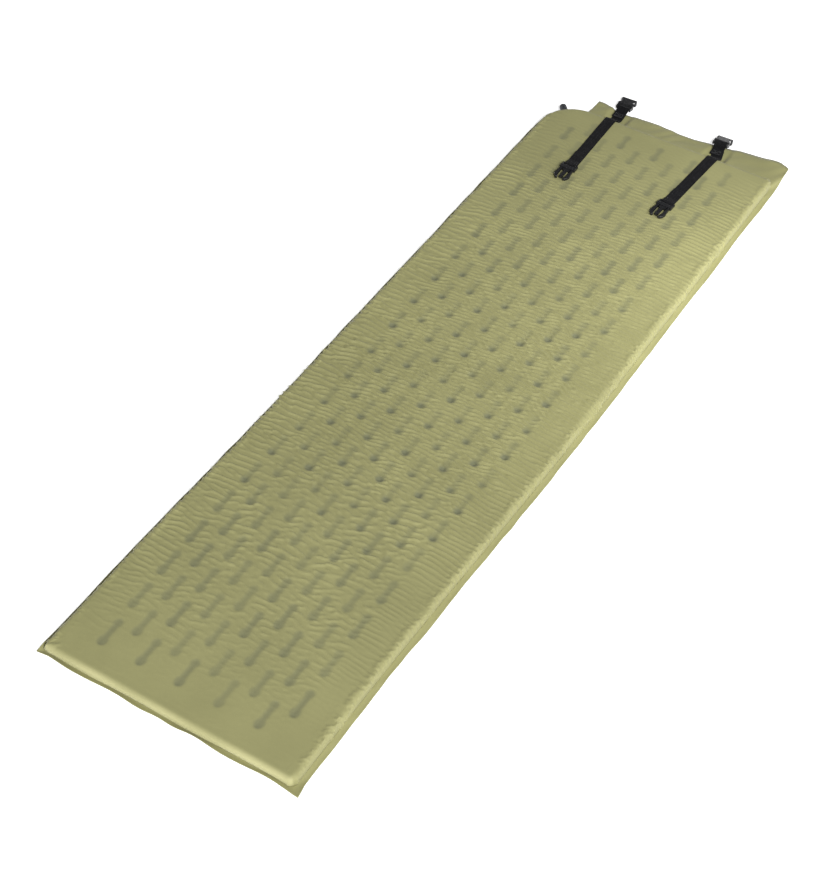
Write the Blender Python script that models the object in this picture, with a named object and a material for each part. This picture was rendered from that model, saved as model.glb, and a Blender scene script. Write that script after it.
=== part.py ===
"""Self-inflating sleeping pad with a corner valve and two buckled compression straps.

Metres, +Z up. The origin is the centre of the pad's underside, +Y points to the head end, where
the valve and the straps are, and +X to the right of someone who stands at the foot end.
"""

import math

import bmesh
import bpy
import numpy as np
from mathutils import Matrix, Vector

# Pad in plan: walls of the foam-filled body, and the welded flange outside them
FOOT_WALL = -0.905
HEAD_WALL = 0.841
LEFT_WALL_FOOT = -0.2520
LEFT_WALL_HEAD = -0.2460
RIGHT_WALL_FOOT = 0.2440
RIGHT_WALL_HEAD = 0.2595
LEFT_TURN = (-0.65, 0.40)  # where along Y the left wall starts to move in, and over what length
RIGHT_TURN = (-0.75, 0.80)
CORNER_RADIUS = 0.012
VALVE_CORNER_RADIUS = 0.080
SIDE_FLANGE = 0.0105
FOOT_FLANGE = 0.0085
VALVE_FLANGE = 0.003
HEAD_FLANGE_EDGE = 0.898
HEAD_FLANGE_RISE = 0.020  # the flange grows by this much towards its right end
HEAD_FLANGE_TIP = 0.008  # and by this much at its cut left end
NOTCH_ANGLE = 100.0  # degrees round the valve corner where the head flange is cut off
TIP_ANGLE = 141.0  # and where the side flange starts

# Pad in height
GAP = 0.0003
BOTTOM_SKIN = 0.0006
TOP_SKIN = 0.0008
PAD_TOP = 0.0250
SHOULDER = ((0.0, 0.0165), (0.0025, 0.0222), (0.0085, PAD_TOP))  # inset and height of the top edge

# Die-cut slots of the foam
SLOT_COLUMNS = 10
SLOT_COLUMN_PITCH = 0.0389
SLOT_ROWS = 21
SLOT_FIRST = -0.8195
SLOT_PITCH = 0.0845
SLOT_PITCH_LOSS = 0.00031  # the rows close up by this much, squared, towards the head
SLOT_LENGTH = (0.062, 0.050)  # at the foot and at the head
SLOT_END_WIDTH = 0.0165
SLOT_WAIST_WIDTH = 0.0105
SLOT_DRIFT = 0.008  # the columns follow the pad's slight lean to the right
# How the foam has crept under its skin, at these steps along a column: across, along, and along per column.
CREEP_STEPS = (0, 1, 2.5, 4.5, 6, 7.2, 10, 12, 14.5, 16, 18, 20.5)
CREEP_X = (
    0.0054, 0.0003, -0.0039, -0.0060, -0.0043, 0.0028,
    0.0018, -0.0027, -0.0010, -0.0011, -0.0019, -0.0041,
)
CREEP_Y = (
    -0.0073, 0.0004, 0.0036, 0.0053, 0.0027, -0.0041,
    -0.0059, -0.0023, -0.0050, -0.0016, 0.0004, 0.0018,
)
CREEP_LEAN = (0.0003, 0.0009, 0.0020, 0.0026, 0.0024, 0.0020, 0.0016, 0.0011, 0.0003, 0.0, 0.0003, 0.0004)

# Valve, in a frame whose +Z points out of the corner and whose zero is the skin's outer face
VALVE_ANGLE = 132.0
VALVE_HEIGHT = 0.0135
VALVE_HOLE_RADIUS = 0.0062
VALVE_POCKET_RADIUS = 0.0092
VALVE_POCKET_DEPTH = 0.032
CAP_RADIUS = 0.0078
CAP_LENGTH = 0.0212
CAP_RIM = 0.0034
CAP_FLUTE = 0.0005

# Webbing straps: place of each hinge line on the pad's head edge, how each part is turned in plan,
# and the female buckle's bar: its distance past the sewn end, its height, and the webbing's rise to it
WEBBING_WIDTH = 0.025
WEBBING = 0.0014
HINGE_Y = 0.834
HINGE_Z = PAD_TOP + 0.0005 + WEBBING / 2  # the webbing's middle plane, where it leaves the sewn end
STRAPS = {
    "left": {
        "x": -0.1170, "run_turn": 1.0, "tab_turn": 4.0, "loop_turn": 2.5,
        "bar": 0.0125, "bar_height": 0.0094, "rise": 12.0, "droop": 5.0,
    },
    "right": {
        "x": 0.1235, "run_turn": -3.9, "tab_turn": 14.0, "loop_turn": 2.0,
        "bar": 0.0050, "bar_height": 0.0168, "rise": 50.0, "droop": 18.0,
    },
}
RUN_LENGTH = 0.186
RUN_Z = -WEBBING / 2  # the run's middle plane: it lifts about a line on its upper face
TAIL_LENGTH = 0.052
TAB_LENGTH = 0.060
LOOP_START = -0.020  # the loop is sewn over this much of the tab's end
LOOP_LIFT = -0.005  # where it leaves the flange
BAR_RADIUS = 0.0016
FOLD_RADIUS = BAR_RADIUS + GAP + WEBBING / 2

# Side-release buckles for 25 mm webbing
BUCKLE_HALF_WIDTH = 0.0172
RAIL_INNER = 0.0136
MALE_BAR_Z = RUN_Z + 0.0028
MALE_BLOCK = (0.0065, 0.0145)
GUIDE_TIP = 0.0460
ARM_ROOT = (0.0122, 0.0160)
FEMALE_MOUTH = 0.0335
FEMALE_HALF_HEIGHT = 0.0060
FEMALE_WAIST_RADIUS = 0.0066
FEMALE_WAIST_PLACE = (0.0182, 0.0192)

OLIVE = (0.325, 0.315, 0.135)
OLIVE_UNDER = (0.270, 0.262, 0.115)
FOAM_YELLOW = (0.70, 0.62, 0.38)
BLACK_WEBBING = (0.012, 0.012, 0.014)
BLACK_PLASTIC = (0.020, 0.021, 0.024)
VALVE_BLUE_BLACK = (0.030, 0.034, 0.045)
THREAD = (0.030, 0.030, 0.032)


def clear_scene():
    for obj in list(bpy.data.objects):
        bpy.data.objects.remove(obj, do_unlink=True)


def make_material(name, colour, roughness, metallic=0.0):
    material = bpy.data.materials.new(name)
    material.use_nodes = True
    shader = material.node_tree.nodes["Principled BSDF"]
    shader.inputs["Base Color"].default_value = (*colour, 1.0)
    shader.inputs["Roughness"].default_value = roughness
    shader.inputs["Metallic"].default_value = metallic
    return material


def add_object(name, mesh, material=None, parent=None):
    obj = bpy.data.objects.new(name, mesh)
    bpy.context.scene.collection.objects.link(obj)
    if material:
        mesh.materials.append(material)
    obj.parent = parent
    return obj


def add_empty(name, location, rotation=(0.0, 0.0, 0.0), parent=None):
    empty = bpy.data.objects.new(name, None)
    bpy.context.scene.collection.objects.link(empty)
    empty.parent = parent
    empty.location = location
    empty.rotation_euler = rotation
    empty.empty_display_size = 0.01
    return empty


def finish_mesh(name, bm, smooth=False):
    bmesh.ops.recalc_face_normals(bm, faces=bm.faces)
    mesh = bpy.data.meshes.new(name)
    bm.to_mesh(mesh)
    bm.free()
    if smooth:
        mesh.shade_smooth()
        mesh.set_sharp_from_angle(angle=math.radians(35.0))
    return mesh


def stacked_rings(rings):
    """A closed bmesh through rings of equal point count, with a flat cap at each end."""
    bm = bmesh.new()
    layers = [[bm.verts.new(point) for point in ring] for ring in rings]
    count = len(layers[0])
    for lower, upper in zip(layers, layers[1:]):
        for i in range(count):
            j = (i + 1) % count
            bm.faces.new((lower[i], lower[j], upper[j], upper[i]))
    bm.faces.new(reversed(layers[0]))
    bm.faces.new(layers[-1])
    return bm


def smoothstep(t):
    t = min(max(t, 0.0), 1.0)
    return t * t * (3.0 - 2.0 * t)


def mix(a, b, t):
    return a + (b - a) * t


# ---------------------------------------------------------------- plan of the pad


def left_wall(y):
    start, length = LEFT_TURN
    return mix(LEFT_WALL_FOOT, LEFT_WALL_HEAD, smoothstep((y - start) / length))


def right_wall(y):
    start, length = RIGHT_TURN
    return mix(RIGHT_WALL_FOOT, RIGHT_WALL_HEAD, smoothstep((y - start) / length))


def head_flange_edge(x):
    """Outer edge of the wide flange, which carries the straps."""
    rise = HEAD_FLANGE_RISE * smoothstep(x / 0.20)
    tip = HEAD_FLANGE_TIP * smoothstep((-0.12 - x) / 0.05)
    return HEAD_FLANGE_EDGE + rise + tip


def corner_stations(centre, radius, start, steps, reach_x, reach_y, sharpness):
    """A quarter turn of wall, with the flange round it brought out to a more or less square corner."""
    stations = []
    for i in range(steps + 1):
        angle = math.radians(start + 90.0 * i / steps)
        normal = Vector((math.cos(angle), math.sin(angle)))
        square = normal / max(abs(normal.x), abs(normal.y))
        pull = mix(1.0, sharpness, abs(math.sin(2.0 * angle)))
        flange = centre + Vector((square.x * reach_x, square.y * reach_y)) * pull
        stations.append((centre + normal * radius, normal, flange))
    return stations


def valve_corner_stations(centre, steps):
    """The rounded corner at the valve. The flange is cut back to a narrow weld round it."""
    stations = []
    for i in range(steps + 1):
        degrees = 90.0 + 90.0 * i / steps
        normal = Vector((math.cos(math.radians(degrees)), math.sin(math.radians(degrees))))
        wall = centre + normal * VALVE_CORNER_RADIUS
        flange = wall + normal * VALVE_FLANGE
        if degrees < NOTCH_ANGLE:
            flange = Vector((wall.x, head_flange_edge(wall.x)))
        if degrees > TIP_ANGLE:
            tuck = mix(0.0055, 0.0, (degrees - TIP_ANGLE) / (180.0 - TIP_ANGLE))
            flange = Vector((left_wall(wall.y) - SIDE_FLANGE + tuck, wall.y))
        stations.append((wall, normal, flange))
    return stations


def perimeter():
    """Stations round the pad, anticlockwise from the foot's left end: wall, outward normal, flange."""
    r = CORNER_RADIUS
    big = VALVE_CORNER_RADIUS
    reach = r + SIDE_FLANGE
    stations = []

    foot_left = left_wall(FOOT_WALL) + r
    foot_right = right_wall(FOOT_WALL) - r
    for i in range(8):
        x = mix(foot_left, foot_right, i / 8)
        wall = Vector((x, FOOT_WALL))
        stations.append((wall, Vector((0, -1)), wall - Vector((0, FOOT_FLANGE))))
    centre = Vector((foot_right, FOOT_WALL + r))
    stations += corner_stations(centre, r, 270.0, 4, reach, r + FOOT_FLANGE, 1.15)

    for i in range(1, 20):
        y = mix(FOOT_WALL + r, HEAD_WALL - r, i / 20)
        wall = Vector((right_wall(y), y))
        stations.append((wall, Vector((1, 0)), wall + Vector((SIDE_FLANGE, 0))))
    head_right = right_wall(HEAD_WALL) - r
    centre = Vector((head_right, HEAD_WALL - r))
    head_reach = head_flange_edge(head_right) - centre.y
    stations += corner_stations(centre, r, 0.0, 4, reach, head_reach, 0.84)

    head_left = left_wall(HEAD_WALL) + big
    for i in range(1, 16):
        x = mix(head_right, head_left, i / 16)
        stations.append((Vector((x, HEAD_WALL)), Vector((0, 1)), Vector((x, head_flange_edge(x)))))
    stations += valve_corner_stations(Vector((head_left, HEAD_WALL - big)), 12)

    for i in range(1, 20):
        y = mix(HEAD_WALL - big, FOOT_WALL + r, i / 20)
        wall = Vector((left_wall(y), y))
        stations.append((wall, Vector((-1, 0)), wall - Vector((SIDE_FLANGE, 0))))
    centre = Vector((foot_left, FOOT_WALL + r))
    stations += corner_stations(centre, r, 180.0, 4, reach, r + FOOT_FLANGE, 1.0)[:-1]
    return stations


def wall_ring(stations, inset, z):
    return [(*(wall - normal * inset), z) for wall, normal, _ in stations]


def flange_ring(stations, z):
    return [(*flange, z) for _, _, flange in stations]


# ---------------------------------------------------------------- pad


def make_bottom_skin(stations, material):
    bm = stacked_rings([flange_ring(stations, 0.0), flange_ring(stations, BOTTOM_SKIN)])
    return add_object("bottom_skin", finish_mesh("bottom_skin", bm), material)


def make_top_skin(stations, material, valve_frame):
    """An upside-down tray: top, walls and flange in one sheet."""
    base = BOTTOM_SKIN + GAP
    inner = [wall_ring(stations, inset + TOP_SKIN, z - TOP_SKIN) for inset, z in SHOULDER]
    outer = [wall_ring(stations, inset, z) for inset, z in SHOULDER]
    rings = list(reversed(inner))
    rings.append(wall_ring(stations, TOP_SKIN, base))
    rings.append(flange_ring(stations, base))
    rings.append(flange_ring(stations, base + TOP_SKIN))
    rings.append(wall_ring(stations, 0.0, base + TOP_SKIN))
    rings += outer
    skin = add_object("top_skin", finish_mesh("top_skin", stacked_rings(rings)), material)
    cut_round_hole(skin, VALVE_HOLE_RADIUS, -0.010, 0.004, valve_frame)
    return skin


def slot_outline(centre, length):
    """A dog-bone with straight-cut ends: two wide ends and a narrow waist."""
    end = SLOT_END_WIDTH / 2
    waist = SLOT_WAIST_WIDTH / 2
    half = length / 2
    quarter = [(end, half), (waist, half - end * 1.8)]
    right = quarter + [(x, -y) for x, y in reversed(quarter)]
    left = [(-x, -y) for x, y in right]
    return [(centre[0] + x, centre[1] + y) for x, y in right + left]


def slot_centres():
    """Rows of slots, every other column shifted by half a pitch."""
    for column in range(SLOT_COLUMNS):
        for row in range(SLOT_ROWS):
            step = row + 0.5 * (column % 2)
            y = SLOT_FIRST + SLOT_PITCH * step - SLOT_PITCH_LOSS * step * step
            drift = SLOT_DRIFT * smoothstep((y - RIGHT_TURN[0]) / RIGHT_TURN[1])
            place = column - (SLOT_COLUMNS - 1) / 2
            creep_x, creep_y, lean = (
                float(np.interp(step, CREEP_STEPS, values)) for values in (CREEP_X, CREEP_Y, CREEP_LEAN)
            )
            x = place * SLOT_COLUMN_PITCH + drift - SLOT_DRIFT / 2 + creep_x
            yield x, y + creep_y + lean * place


def make_slot_cutter(low, high):
    bm = bmesh.new()
    for x, y in slot_centres():
        along = (y - FOOT_WALL) / (HEAD_WALL - FOOT_WALL)
        outline = slot_outline((x, y), mix(*SLOT_LENGTH, smoothstep(along * 1.6)))
        bottom = [bm.verts.new((px, py, low)) for px, py in outline]
        top = [bm.verts.new((px, py, high)) for px, py in outline]
        bm.faces.new(bottom)
        bm.faces.new(reversed(top))
        for i in range(len(outline)):
            j = (i + 1) % len(outline)
            bm.faces.new((bottom[i], top[i], top[j], bottom[j]))
    return hide_helper(add_object("slot_cutter", finish_mesh("slot_cutter", bm)))


def make_foam_core(stations, material, valve_frame):
    base = BOTTOM_SKIN + GAP
    clearance = TOP_SKIN + GAP
    rings = [wall_ring(stations, clearance, base)]
    rings += [wall_ring(stations, inset + clearance, z - clearance) for inset, z in SHOULDER]
    foam = add_object("foam_core", finish_mesh("foam_core", stacked_rings(rings)), material)
    cut(foam, make_slot_cutter(base - 0.001, PAD_TOP + 0.001))
    cut_round_hole(foam, VALVE_POCKET_RADIUS, -VALVE_POCKET_DEPTH, 0.010, valve_frame)
    return foam


# ---------------------------------------------------------------- helpers for solids


def hide_helper(obj):
    obj.hide_render = True
    obj.display_type = "WIRE"
    return obj


def combine(target, other, operation):
    modifier = target.modifiers.new(other.name, "BOOLEAN")
    modifier.operation = operation
    modifier.object = other
    modifier.solver = "EXACT"
    return target


def cut(target, cutter):
    return combine(target, cutter, "DIFFERENCE")


def box_bmesh(low, high, bevel=0.0):
    """A box between two corners, its edges rounded when bevel is given."""
    bm = bmesh.new()
    size = [b - a for a, b in zip(low, high)]
    middle = [(a + b) / 2 for a, b in zip(low, high)]
    matrix = Matrix.Translation(middle) @ Matrix.Diagonal((*size, 1.0))
    bmesh.ops.create_cube(bm, size=1.0, matrix=matrix)
    if bevel:
        bmesh.ops.bevel(bm, geom=list(bm.edges), offset=bevel, segments=2, profile=0.6, affect="EDGES")
    return bm


def box_of(half_x, y_span, z_span, bevel=0.0, x_middle=0.0):
    low = (x_middle - half_x, y_span[0], z_span[0])
    high = (x_middle + half_x, y_span[1], z_span[1])
    return box_bmesh(low, high, bevel)


def webbing_bar(half_length):
    """The round bar that webbing folds over, along X."""
    bm = bmesh.new()
    turn = Matrix.Rotation(math.pi / 2, 4, "Y")
    bmesh.ops.create_cone(
        bm, cap_ends=True, segments=16, radius1=BAR_RADIUS, radius2=BAR_RADIUS, depth=2 * half_length, matrix=turn
    )
    return bm


def fused_object(name, material, parent, solids, cuts=()):
    """One body from several overlapping solids, less the cutters."""
    body = add_object(name, finish_mesh(name, solids[0]), material, parent)
    for operation, shapes in (("UNION", solids[1:]), ("DIFFERENCE", cuts)):
        for i, shape in enumerate(shapes):
            helper_name = f"{name}_{operation.lower()}_{i}"
            helper = add_object(helper_name, finish_mesh(helper_name, shape), None, parent)
            combine(body, hide_helper(helper), operation)
    return body


def cut_round_hole(target, radius, low, high, frame):
    name = f"{target.name}_round_cutter"
    bm = lathe([(0.0, low), (radius, low), (radius, high), (0.0, high)], 24)
    cutter = add_object(name, finish_mesh(name, bm), None, frame)
    return cut(target, hide_helper(cutter))


def lathe(profile, segments, loop=False, flutes=()):
    """Turns (radius, z) points round Z. Points listed in flutes dip on every other segment."""
    bm = bmesh.new()
    rings = []
    for index, (radius, z) in enumerate(profile):
        if radius == 0.0:
            rings.append([bm.verts.new((0.0, 0.0, z))])
            continue
        ring = []
        for i in range(segments):
            angle = 2.0 * math.pi * i / segments
            dip = CAP_FLUTE if index in flutes and i % 2 else 0.0
            ring.append(bm.verts.new(((radius - dip) * math.cos(angle), (radius - dip) * math.sin(angle), z)))
        rings.append(ring)
    pairs = list(zip(rings, rings[1:]))
    if loop:
        pairs.append((rings[-1], rings[0]))
    for lower, upper in pairs:
        for i in range(segments):
            j = (i + 1) % segments
            corners = (lower[i % len(lower)], lower[j % len(lower)], upper[j % len(upper)], upper[i % len(upper)])
            bm.faces.new(dict.fromkeys(corners))
    return bm


def band_bmesh(points, laterals, width=WEBBING_WIDTH, thickness=WEBBING):
    """A flat strap of rectangular section along points, its width along the laterals."""
    bm = bmesh.new()
    sections = []
    for i, (point, lateral) in enumerate(zip(points, laterals)):
        tangent = points[min(i + 1, len(points) - 1)] - points[max(i - 1, 0)]
        normal = lateral.cross(tangent).normalized()
        side = lateral.normalized() * (width / 2)
        up = normal * (thickness / 2)
        corners = (point - side - up, point + side - up, point + side + up, point - side + up)
        sections.append([bm.verts.new(corner) for corner in corners])
    for a, b in zip(sections, sections[1:]):
        for i in range(4):
            j = (i + 1) % 4
            bm.faces.new((a[i], a[j], b[j], b[i]))
    bm.faces.new(reversed(sections[0]))
    bm.faces.new(sections[-1])
    return bm


def fold_points(centre_y, centre_z, radius, start, end, steps):
    """Points round a buckle's bar, from start to end degrees in the YZ plane."""
    points = []
    for i in range(steps + 1):
        angle = math.radians(mix(start, end, i / steps))
        points.append((centre_y + radius * math.cos(angle), centre_z + radius * math.sin(angle)))
    return points


def flat_band(name, material, parent, route):
    """A strap whose route lies in its parent's YZ plane."""
    points = [Vector((0.0, y, z)) for y, z in route]
    laterals = [Vector((1.0, 0.0, 0.0))] * len(points)
    return add_object(name, finish_mesh(name, band_bmesh(points, laterals), smooth=True), material, parent)


# ---------------------------------------------------------------- valve


def valve_place():
    centre = Vector((left_wall(HEAD_WALL) + VALVE_CORNER_RADIUS, HEAD_WALL - VALVE_CORNER_RADIUS))
    angle = math.radians(VALVE_ANGLE)
    out = Vector((math.cos(angle), math.sin(angle)))
    return centre + out * VALVE_CORNER_RADIUS, angle


def make_valve_frame():
    """An empty at the skin's outer face whose +Z points out along the valve."""
    point, angle = valve_place()
    return add_empty("valve_frame", (*point, VALVE_HEIGHT), (0.0, math.pi / 2, angle))


def make_valve(frame, plastic, rubber):
    """Tube with two collars through the skin, a stopper with its seal, and the knob over them."""
    tube = [
        (0.0058, -0.0240), (0.0058, -0.0052), (0.0070, -0.0052), (0.0070, -0.0032), (0.0058, -0.0032),
        (0.0058, 0.0005), (0.0078, 0.0005), (0.0078, 0.0028), (0.0050, 0.0028), (0.0050, 0.0080),
        (0.0046, 0.0080), (0.0046, 0.0040), (0.0036, 0.0035), (0.0036, -0.0240),
    ]
    stopper = [
        (0.0, -0.0100), (0.0028, -0.0100), (0.0028, 0.0085), (0.0050, 0.0090),
        (0.0050, CAP_LENGTH - 0.0023), (0.0, CAP_LENGTH - 0.0023),
    ]
    seal = [(0.0031, 0.0045), (0.0040, 0.0045), (0.0043, 0.0060), (0.0040, 0.0075), (0.0031, 0.0075)]
    inner = CAP_LENGTH - 0.0020
    knob = [
        (0.0, inner), (0.0055, inner), (0.0055, CAP_RIM), (CAP_RADIUS - 0.0006, CAP_RIM),
        (CAP_RADIUS, CAP_RIM + 0.0008), (CAP_RADIUS, CAP_LENGTH - 0.0025),
        (CAP_RADIUS - 0.0015, CAP_LENGTH - 0.0005), (CAP_RADIUS - 0.0030, CAP_LENGTH), (0.0, CAP_LENGTH),
    ]
    pieces = (
        ("valve_body", lathe(tube, 24, loop=True), plastic),
        ("valve_plug", lathe(stopper, 24), plastic),
        ("valve_seal", lathe(seal, 24, loop=True), rubber),
        ("valve_cap", lathe(knob, 32, flutes=(4, 5)), plastic),
    )
    for name, bm, material in pieces:
        add_object(name, finish_mesh(name, bm, smooth=True), material, frame)


# ---------------------------------------------------------------- webbing


def tab_heights():
    """Distance from the hinge line and height, down the head wall and along the flange."""
    flat = BOTTOM_SKIN + GAP + TOP_SKIN + GAP + WEBBING / 2
    return [
        (GAP / 2, HINGE_Z), (0.004, HINGE_Z - 0.0007), (0.008, HINGE_Z - 0.0030), (0.013, HINGE_Z - 0.0080),
        (0.019, flat + 0.0086), (0.025, flat + 0.0036), (0.031, flat + 0.0010), (0.037, flat),
        (0.048, flat), (TAB_LENGTH, flat),
    ]


def tab_route(strap):
    """Points and laterals of the sewn end, which turns in plan from the run's line to the tab's."""
    points = []
    laterals = []
    position = Vector((strap["x"], HINGE_Y))
    travelled = 0.0
    for distance, z in tab_heights():
        share = smoothstep(distance / 0.035)
        heading = math.radians(mix(strap["run_turn"], strap["tab_turn"], share))
        along = Vector((-math.sin(heading), math.cos(heading)))
        position = position + along * (distance - travelled)
        travelled = distance
        points.append(Vector((position.x, position.y, z)))
        laterals.append(Vector((math.cos(heading), math.sin(heading), 0.0)))
    return points, laterals


def make_loop_frame(side, strap):
    """An empty on the floor under the sewn end's far edge. Its +Y leads to the female buckle."""
    points, _ = tab_route(strap)
    end = points[-1]
    return add_empty(f"loop_frame_{side}", (end.x, end.y, 0.0), (0.0, 0.0, math.radians(strap["loop_turn"])))


def make_tab(side, strap, webbing):
    points, laterals = tab_route(strap)
    mesh = finish_mesh(f"strap_tab_{side}", band_bmesh(points, laterals), smooth=True)
    return add_object(f"strap_tab_{side}", mesh, webbing)


def make_run(side, pivot, webbing):
    """The free run: along the pad, round the male buckle's bar, and back as the tail."""
    lower = MALE_BAR_Z - FOLD_RADIUS
    route = [(y, RUN_Z) for y in (-GAP / 2, -0.060, -0.120, -0.165)] + [(-RUN_LENGTH + 0.008, lower)]
    route += fold_points(-RUN_LENGTH, MALE_BAR_Z, FOLD_RADIUS, -90.0, -270.0, 8)
    tail_height = RUN_Z + WEBBING + GAP
    end = -RUN_LENGTH + TAIL_LENGTH
    route += [(-RUN_LENGTH + 0.006, MALE_BAR_Z + FOLD_RADIUS - 0.0005)]
    route += [(-RUN_LENGTH + 0.013, tail_height + 0.0015)]
    route += [(-RUN_LENGTH + 0.020, tail_height), (end, tail_height)]
    return flat_band(f"strap_{side}", webbing, pivot, route)


def rising_curve(start, end, slope, steps):
    """Points from level at start to the given slope, in degrees, at end."""
    reach = 0.45 * math.hypot(end[0] - start[0], end[1] - start[1])
    lean = math.radians(slope)
    handles = (start, (start[0] + reach, start[1]))
    handles += ((end[0] - reach * math.cos(lean), end[1] - reach * math.sin(lean)), end)
    points = []
    for i in range(steps + 1):
        t = i / steps
        shares = ((1 - t) ** 3, 3 * t * (1 - t) ** 2, 3 * t * t * (1 - t), t ** 3)
        points.append(tuple(sum(s * h[axis] for s, h in zip(shares, handles)) for axis in (0, 1)))
    return points


def make_loop(side, strap, frame, webbing):
    """Doubled webbing sewn over the tab, with the female buckle's bar in its fold."""
    tab_top = BOTTOM_SKIN + GAP + TOP_SKIN + GAP + WEBBING
    lower = tab_top + GAP + WEBBING / 2
    upper = lower + GAP + WEBBING
    bar = (strap["bar"], strap["bar_height"])
    rise = strap["rise"]
    fold = fold_points(*bar, FOLD_RADIUS, rise - 90.0, rise + 90.0, 8)
    setback = (WEBBING + GAP) * math.tan(math.radians(rise / 2))
    route = [(LOOP_START, lower)] + rising_curve((LOOP_LIFT, lower), fold[0], rise, 6)
    route += fold[1:-1]
    route += rising_curve((LOOP_LIFT - setback, upper), fold[-1], rise, 6)[::-1]
    route += [(LOOP_START, upper)]
    return flat_band(f"buckle_loop_{side}", webbing, frame, route)


def make_stitching(side, frame, thread):
    """A sewn box with a cross in it, standing a thread's height above the loop."""
    low = BOTTOM_SKIN + TOP_SKIN + 5 * GAP + 3 * WEBBING
    z_span = (low, low + 0.0004)
    half = 0.0085
    line = 0.0005
    near = LOOP_START + 0.0020
    far = near + 0.0110
    middle = (near + far) / 2
    solids = [
        box_of(half, (near - line, near + line), z_span),
        box_of(half, (far - line, far + line), z_span),
        box_of(line, (near, far), z_span, x_middle=half - line),
        box_of(line, (near, far), z_span, x_middle=line - half),
    ]
    slope = math.atan2(far - near, 2 * half)
    reach = math.hypot(far - near, 2 * half) / 2 - 0.0006
    for sign in (-1, 1):
        bar = box_of(reach, (-line, line), z_span)
        turn = Matrix.Translation((0.0, middle, 0.0)) @ Matrix.Rotation(sign * slope, 4, "Z")
        bar.transform(turn)
        solids.append(bar)
    return fused_object(f"stitching_{side}", thread, frame, solids)


# ---------------------------------------------------------------- buckles


def male_buckle_solids():
    half = BUCKLE_HALF_WIDTH
    rail_middle = (half + RAIL_INNER) / 2 - 0.0001
    rail_half = (half - RAIL_INNER) / 2 - 0.0001
    block_high = MALE_BLOCK[1]
    solids = [box_of(half, MALE_BLOCK, (-0.0033, 0.0045), 0.0012)]
    for sign in (-1, 1):
        rail = box_of(rail_half, (-0.0030, block_high - 0.0022), (-0.0030, 0.0027), 0.0007, sign * rail_middle)
        solids.append(rail)
    solids.append(webbing_bar(half - 0.0018))
    solids.append(box_of(0.0075, (block_high - 0.0030, block_high + 0.0065), (-0.0022, 0.0022), 0.0006))
    solids.append(box_of(0.0034, (block_high - 0.0045, GUIDE_TIP), (-0.0018, 0.0030), 0.0008))
    return solids


def arm_outline():
    """One springy arm in plan for the +X side, from its root to the rounded tip."""
    return [
        (0.0102, -0.0012), (0.0142, -0.0012), (0.0148, 0.0060), (0.0154, 0.0130), (0.0166, 0.0185),
        (0.0168, 0.0225), (0.0150, 0.0280), (0.0118, 0.0325), (0.0082, 0.0338), (0.0060, 0.0325),
        (0.0066, 0.0290), (0.0096, 0.0248), (0.0106, 0.0195), (0.0102, 0.0100),
    ]


def make_arm(side, hand, sign, buckle_pivot, plastic):
    root_x, root_y = ARM_ROOT
    pivot = add_empty(f"arm_pivot_{side}_{hand}", (sign * root_x, root_y, 0.0), (0, 0, 0), buckle_pivot)
    low, high = -0.0026, 0.0030
    outline = [(sign * x - sign * root_x, y) for x, y in arm_outline()]
    bm = stacked_rings([[(x, y, low) for x, y in outline], [(x, y, high) for x, y in outline]])
    bmesh.ops.bevel(bm, geom=list(bm.edges), offset=0.0005, segments=1, affect="EDGES")
    name = f"buckle_arm_{side}_{hand}"
    return add_object(name, finish_mesh(name, bm, smooth=True), plastic, pivot)


def make_male_buckle(side, strap_pivot, plastic):
    """Frame, webbing bar and guide. Its pivot is the bar, and +Y leads to the tips."""
    place = (0.0, -RUN_LENGTH, MALE_BAR_Z)
    pivot = add_empty(f"male_pivot_{side}", place, (0.0, 0.0, math.pi), strap_pivot)
    fused_object(f"male_buckle_{side}", plastic, pivot, male_buckle_solids())
    for hand, sign in (("inner", -1), ("outer", 1)):
        make_arm(side, hand, sign, pivot, plastic)


def waist_cutter(sign):
    """An upright round cutter that hollows one side of the socket, so a finger reaches the arm."""
    bm = bmesh.new()
    place = Matrix.Translation((sign * FEMALE_WAIST_PLACE[0], FEMALE_WAIST_PLACE[1], 0.0))
    radius = FEMALE_WAIST_RADIUS
    bmesh.ops.create_cone(
        bm, cap_ends=True, segments=20, radius1=radius, radius2=radius, depth=0.03, matrix=place
    )
    return bm


def make_female_buckle(side, strap, loop_frame, plastic):
    """Socket with a mouth for the tips and a hollowed, open waist. Its pivot is the bar."""
    place = (0.0, strap["bar"], strap["bar_height"])
    droop = (-math.radians(strap["droop"]), 0.0, 0.0)
    pivot = add_empty(f"female_pivot_{side}", place, droop, loop_frame)
    half = BUCKLE_HALF_WIDTH
    tall = FEMALE_HALF_HEIGHT
    rail_middle = (half + RAIL_INNER) / 2
    rail_half = (half - RAIL_INNER) / 2
    solids = [box_of(half + 0.0003, (0.0065, FEMALE_MOUTH), (-tall, tall), 0.0016)]
    for sign in (-1, 1):
        rail = box_of(rail_half, (-0.0034, 0.0090), (-0.0036, 0.0036), 0.0007, sign * rail_middle)
        solids.append(rail)
    solids.append(webbing_bar(half - 0.0018))
    cuts = [box_of(0.0146, (0.0095, FEMALE_MOUTH + 0.004), (-0.0042, 0.0042))]
    cuts += [waist_cutter(sign) for sign in (-1, 1)]
    fused_object(f"female_buckle_{side}", plastic, pivot, solids, cuts)


def make_strap(side, strap, webbing, plastic, thread):
    place = (strap["x"], HINGE_Y, HINGE_Z + WEBBING / 2)
    pivot = add_empty(f"strap_pivot_{side}", place, (0.0, 0.0, math.radians(strap["run_turn"])))
    loop_frame = make_loop_frame(side, strap)
    make_tab(side, strap, webbing)
    make_run(side, pivot, webbing)
    make_loop(side, strap, loop_frame, webbing)
    make_stitching(side, loop_frame, thread)
    make_male_buckle(side, pivot, plastic)
    make_female_buckle(side, strap, loop_frame, plastic)


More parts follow.
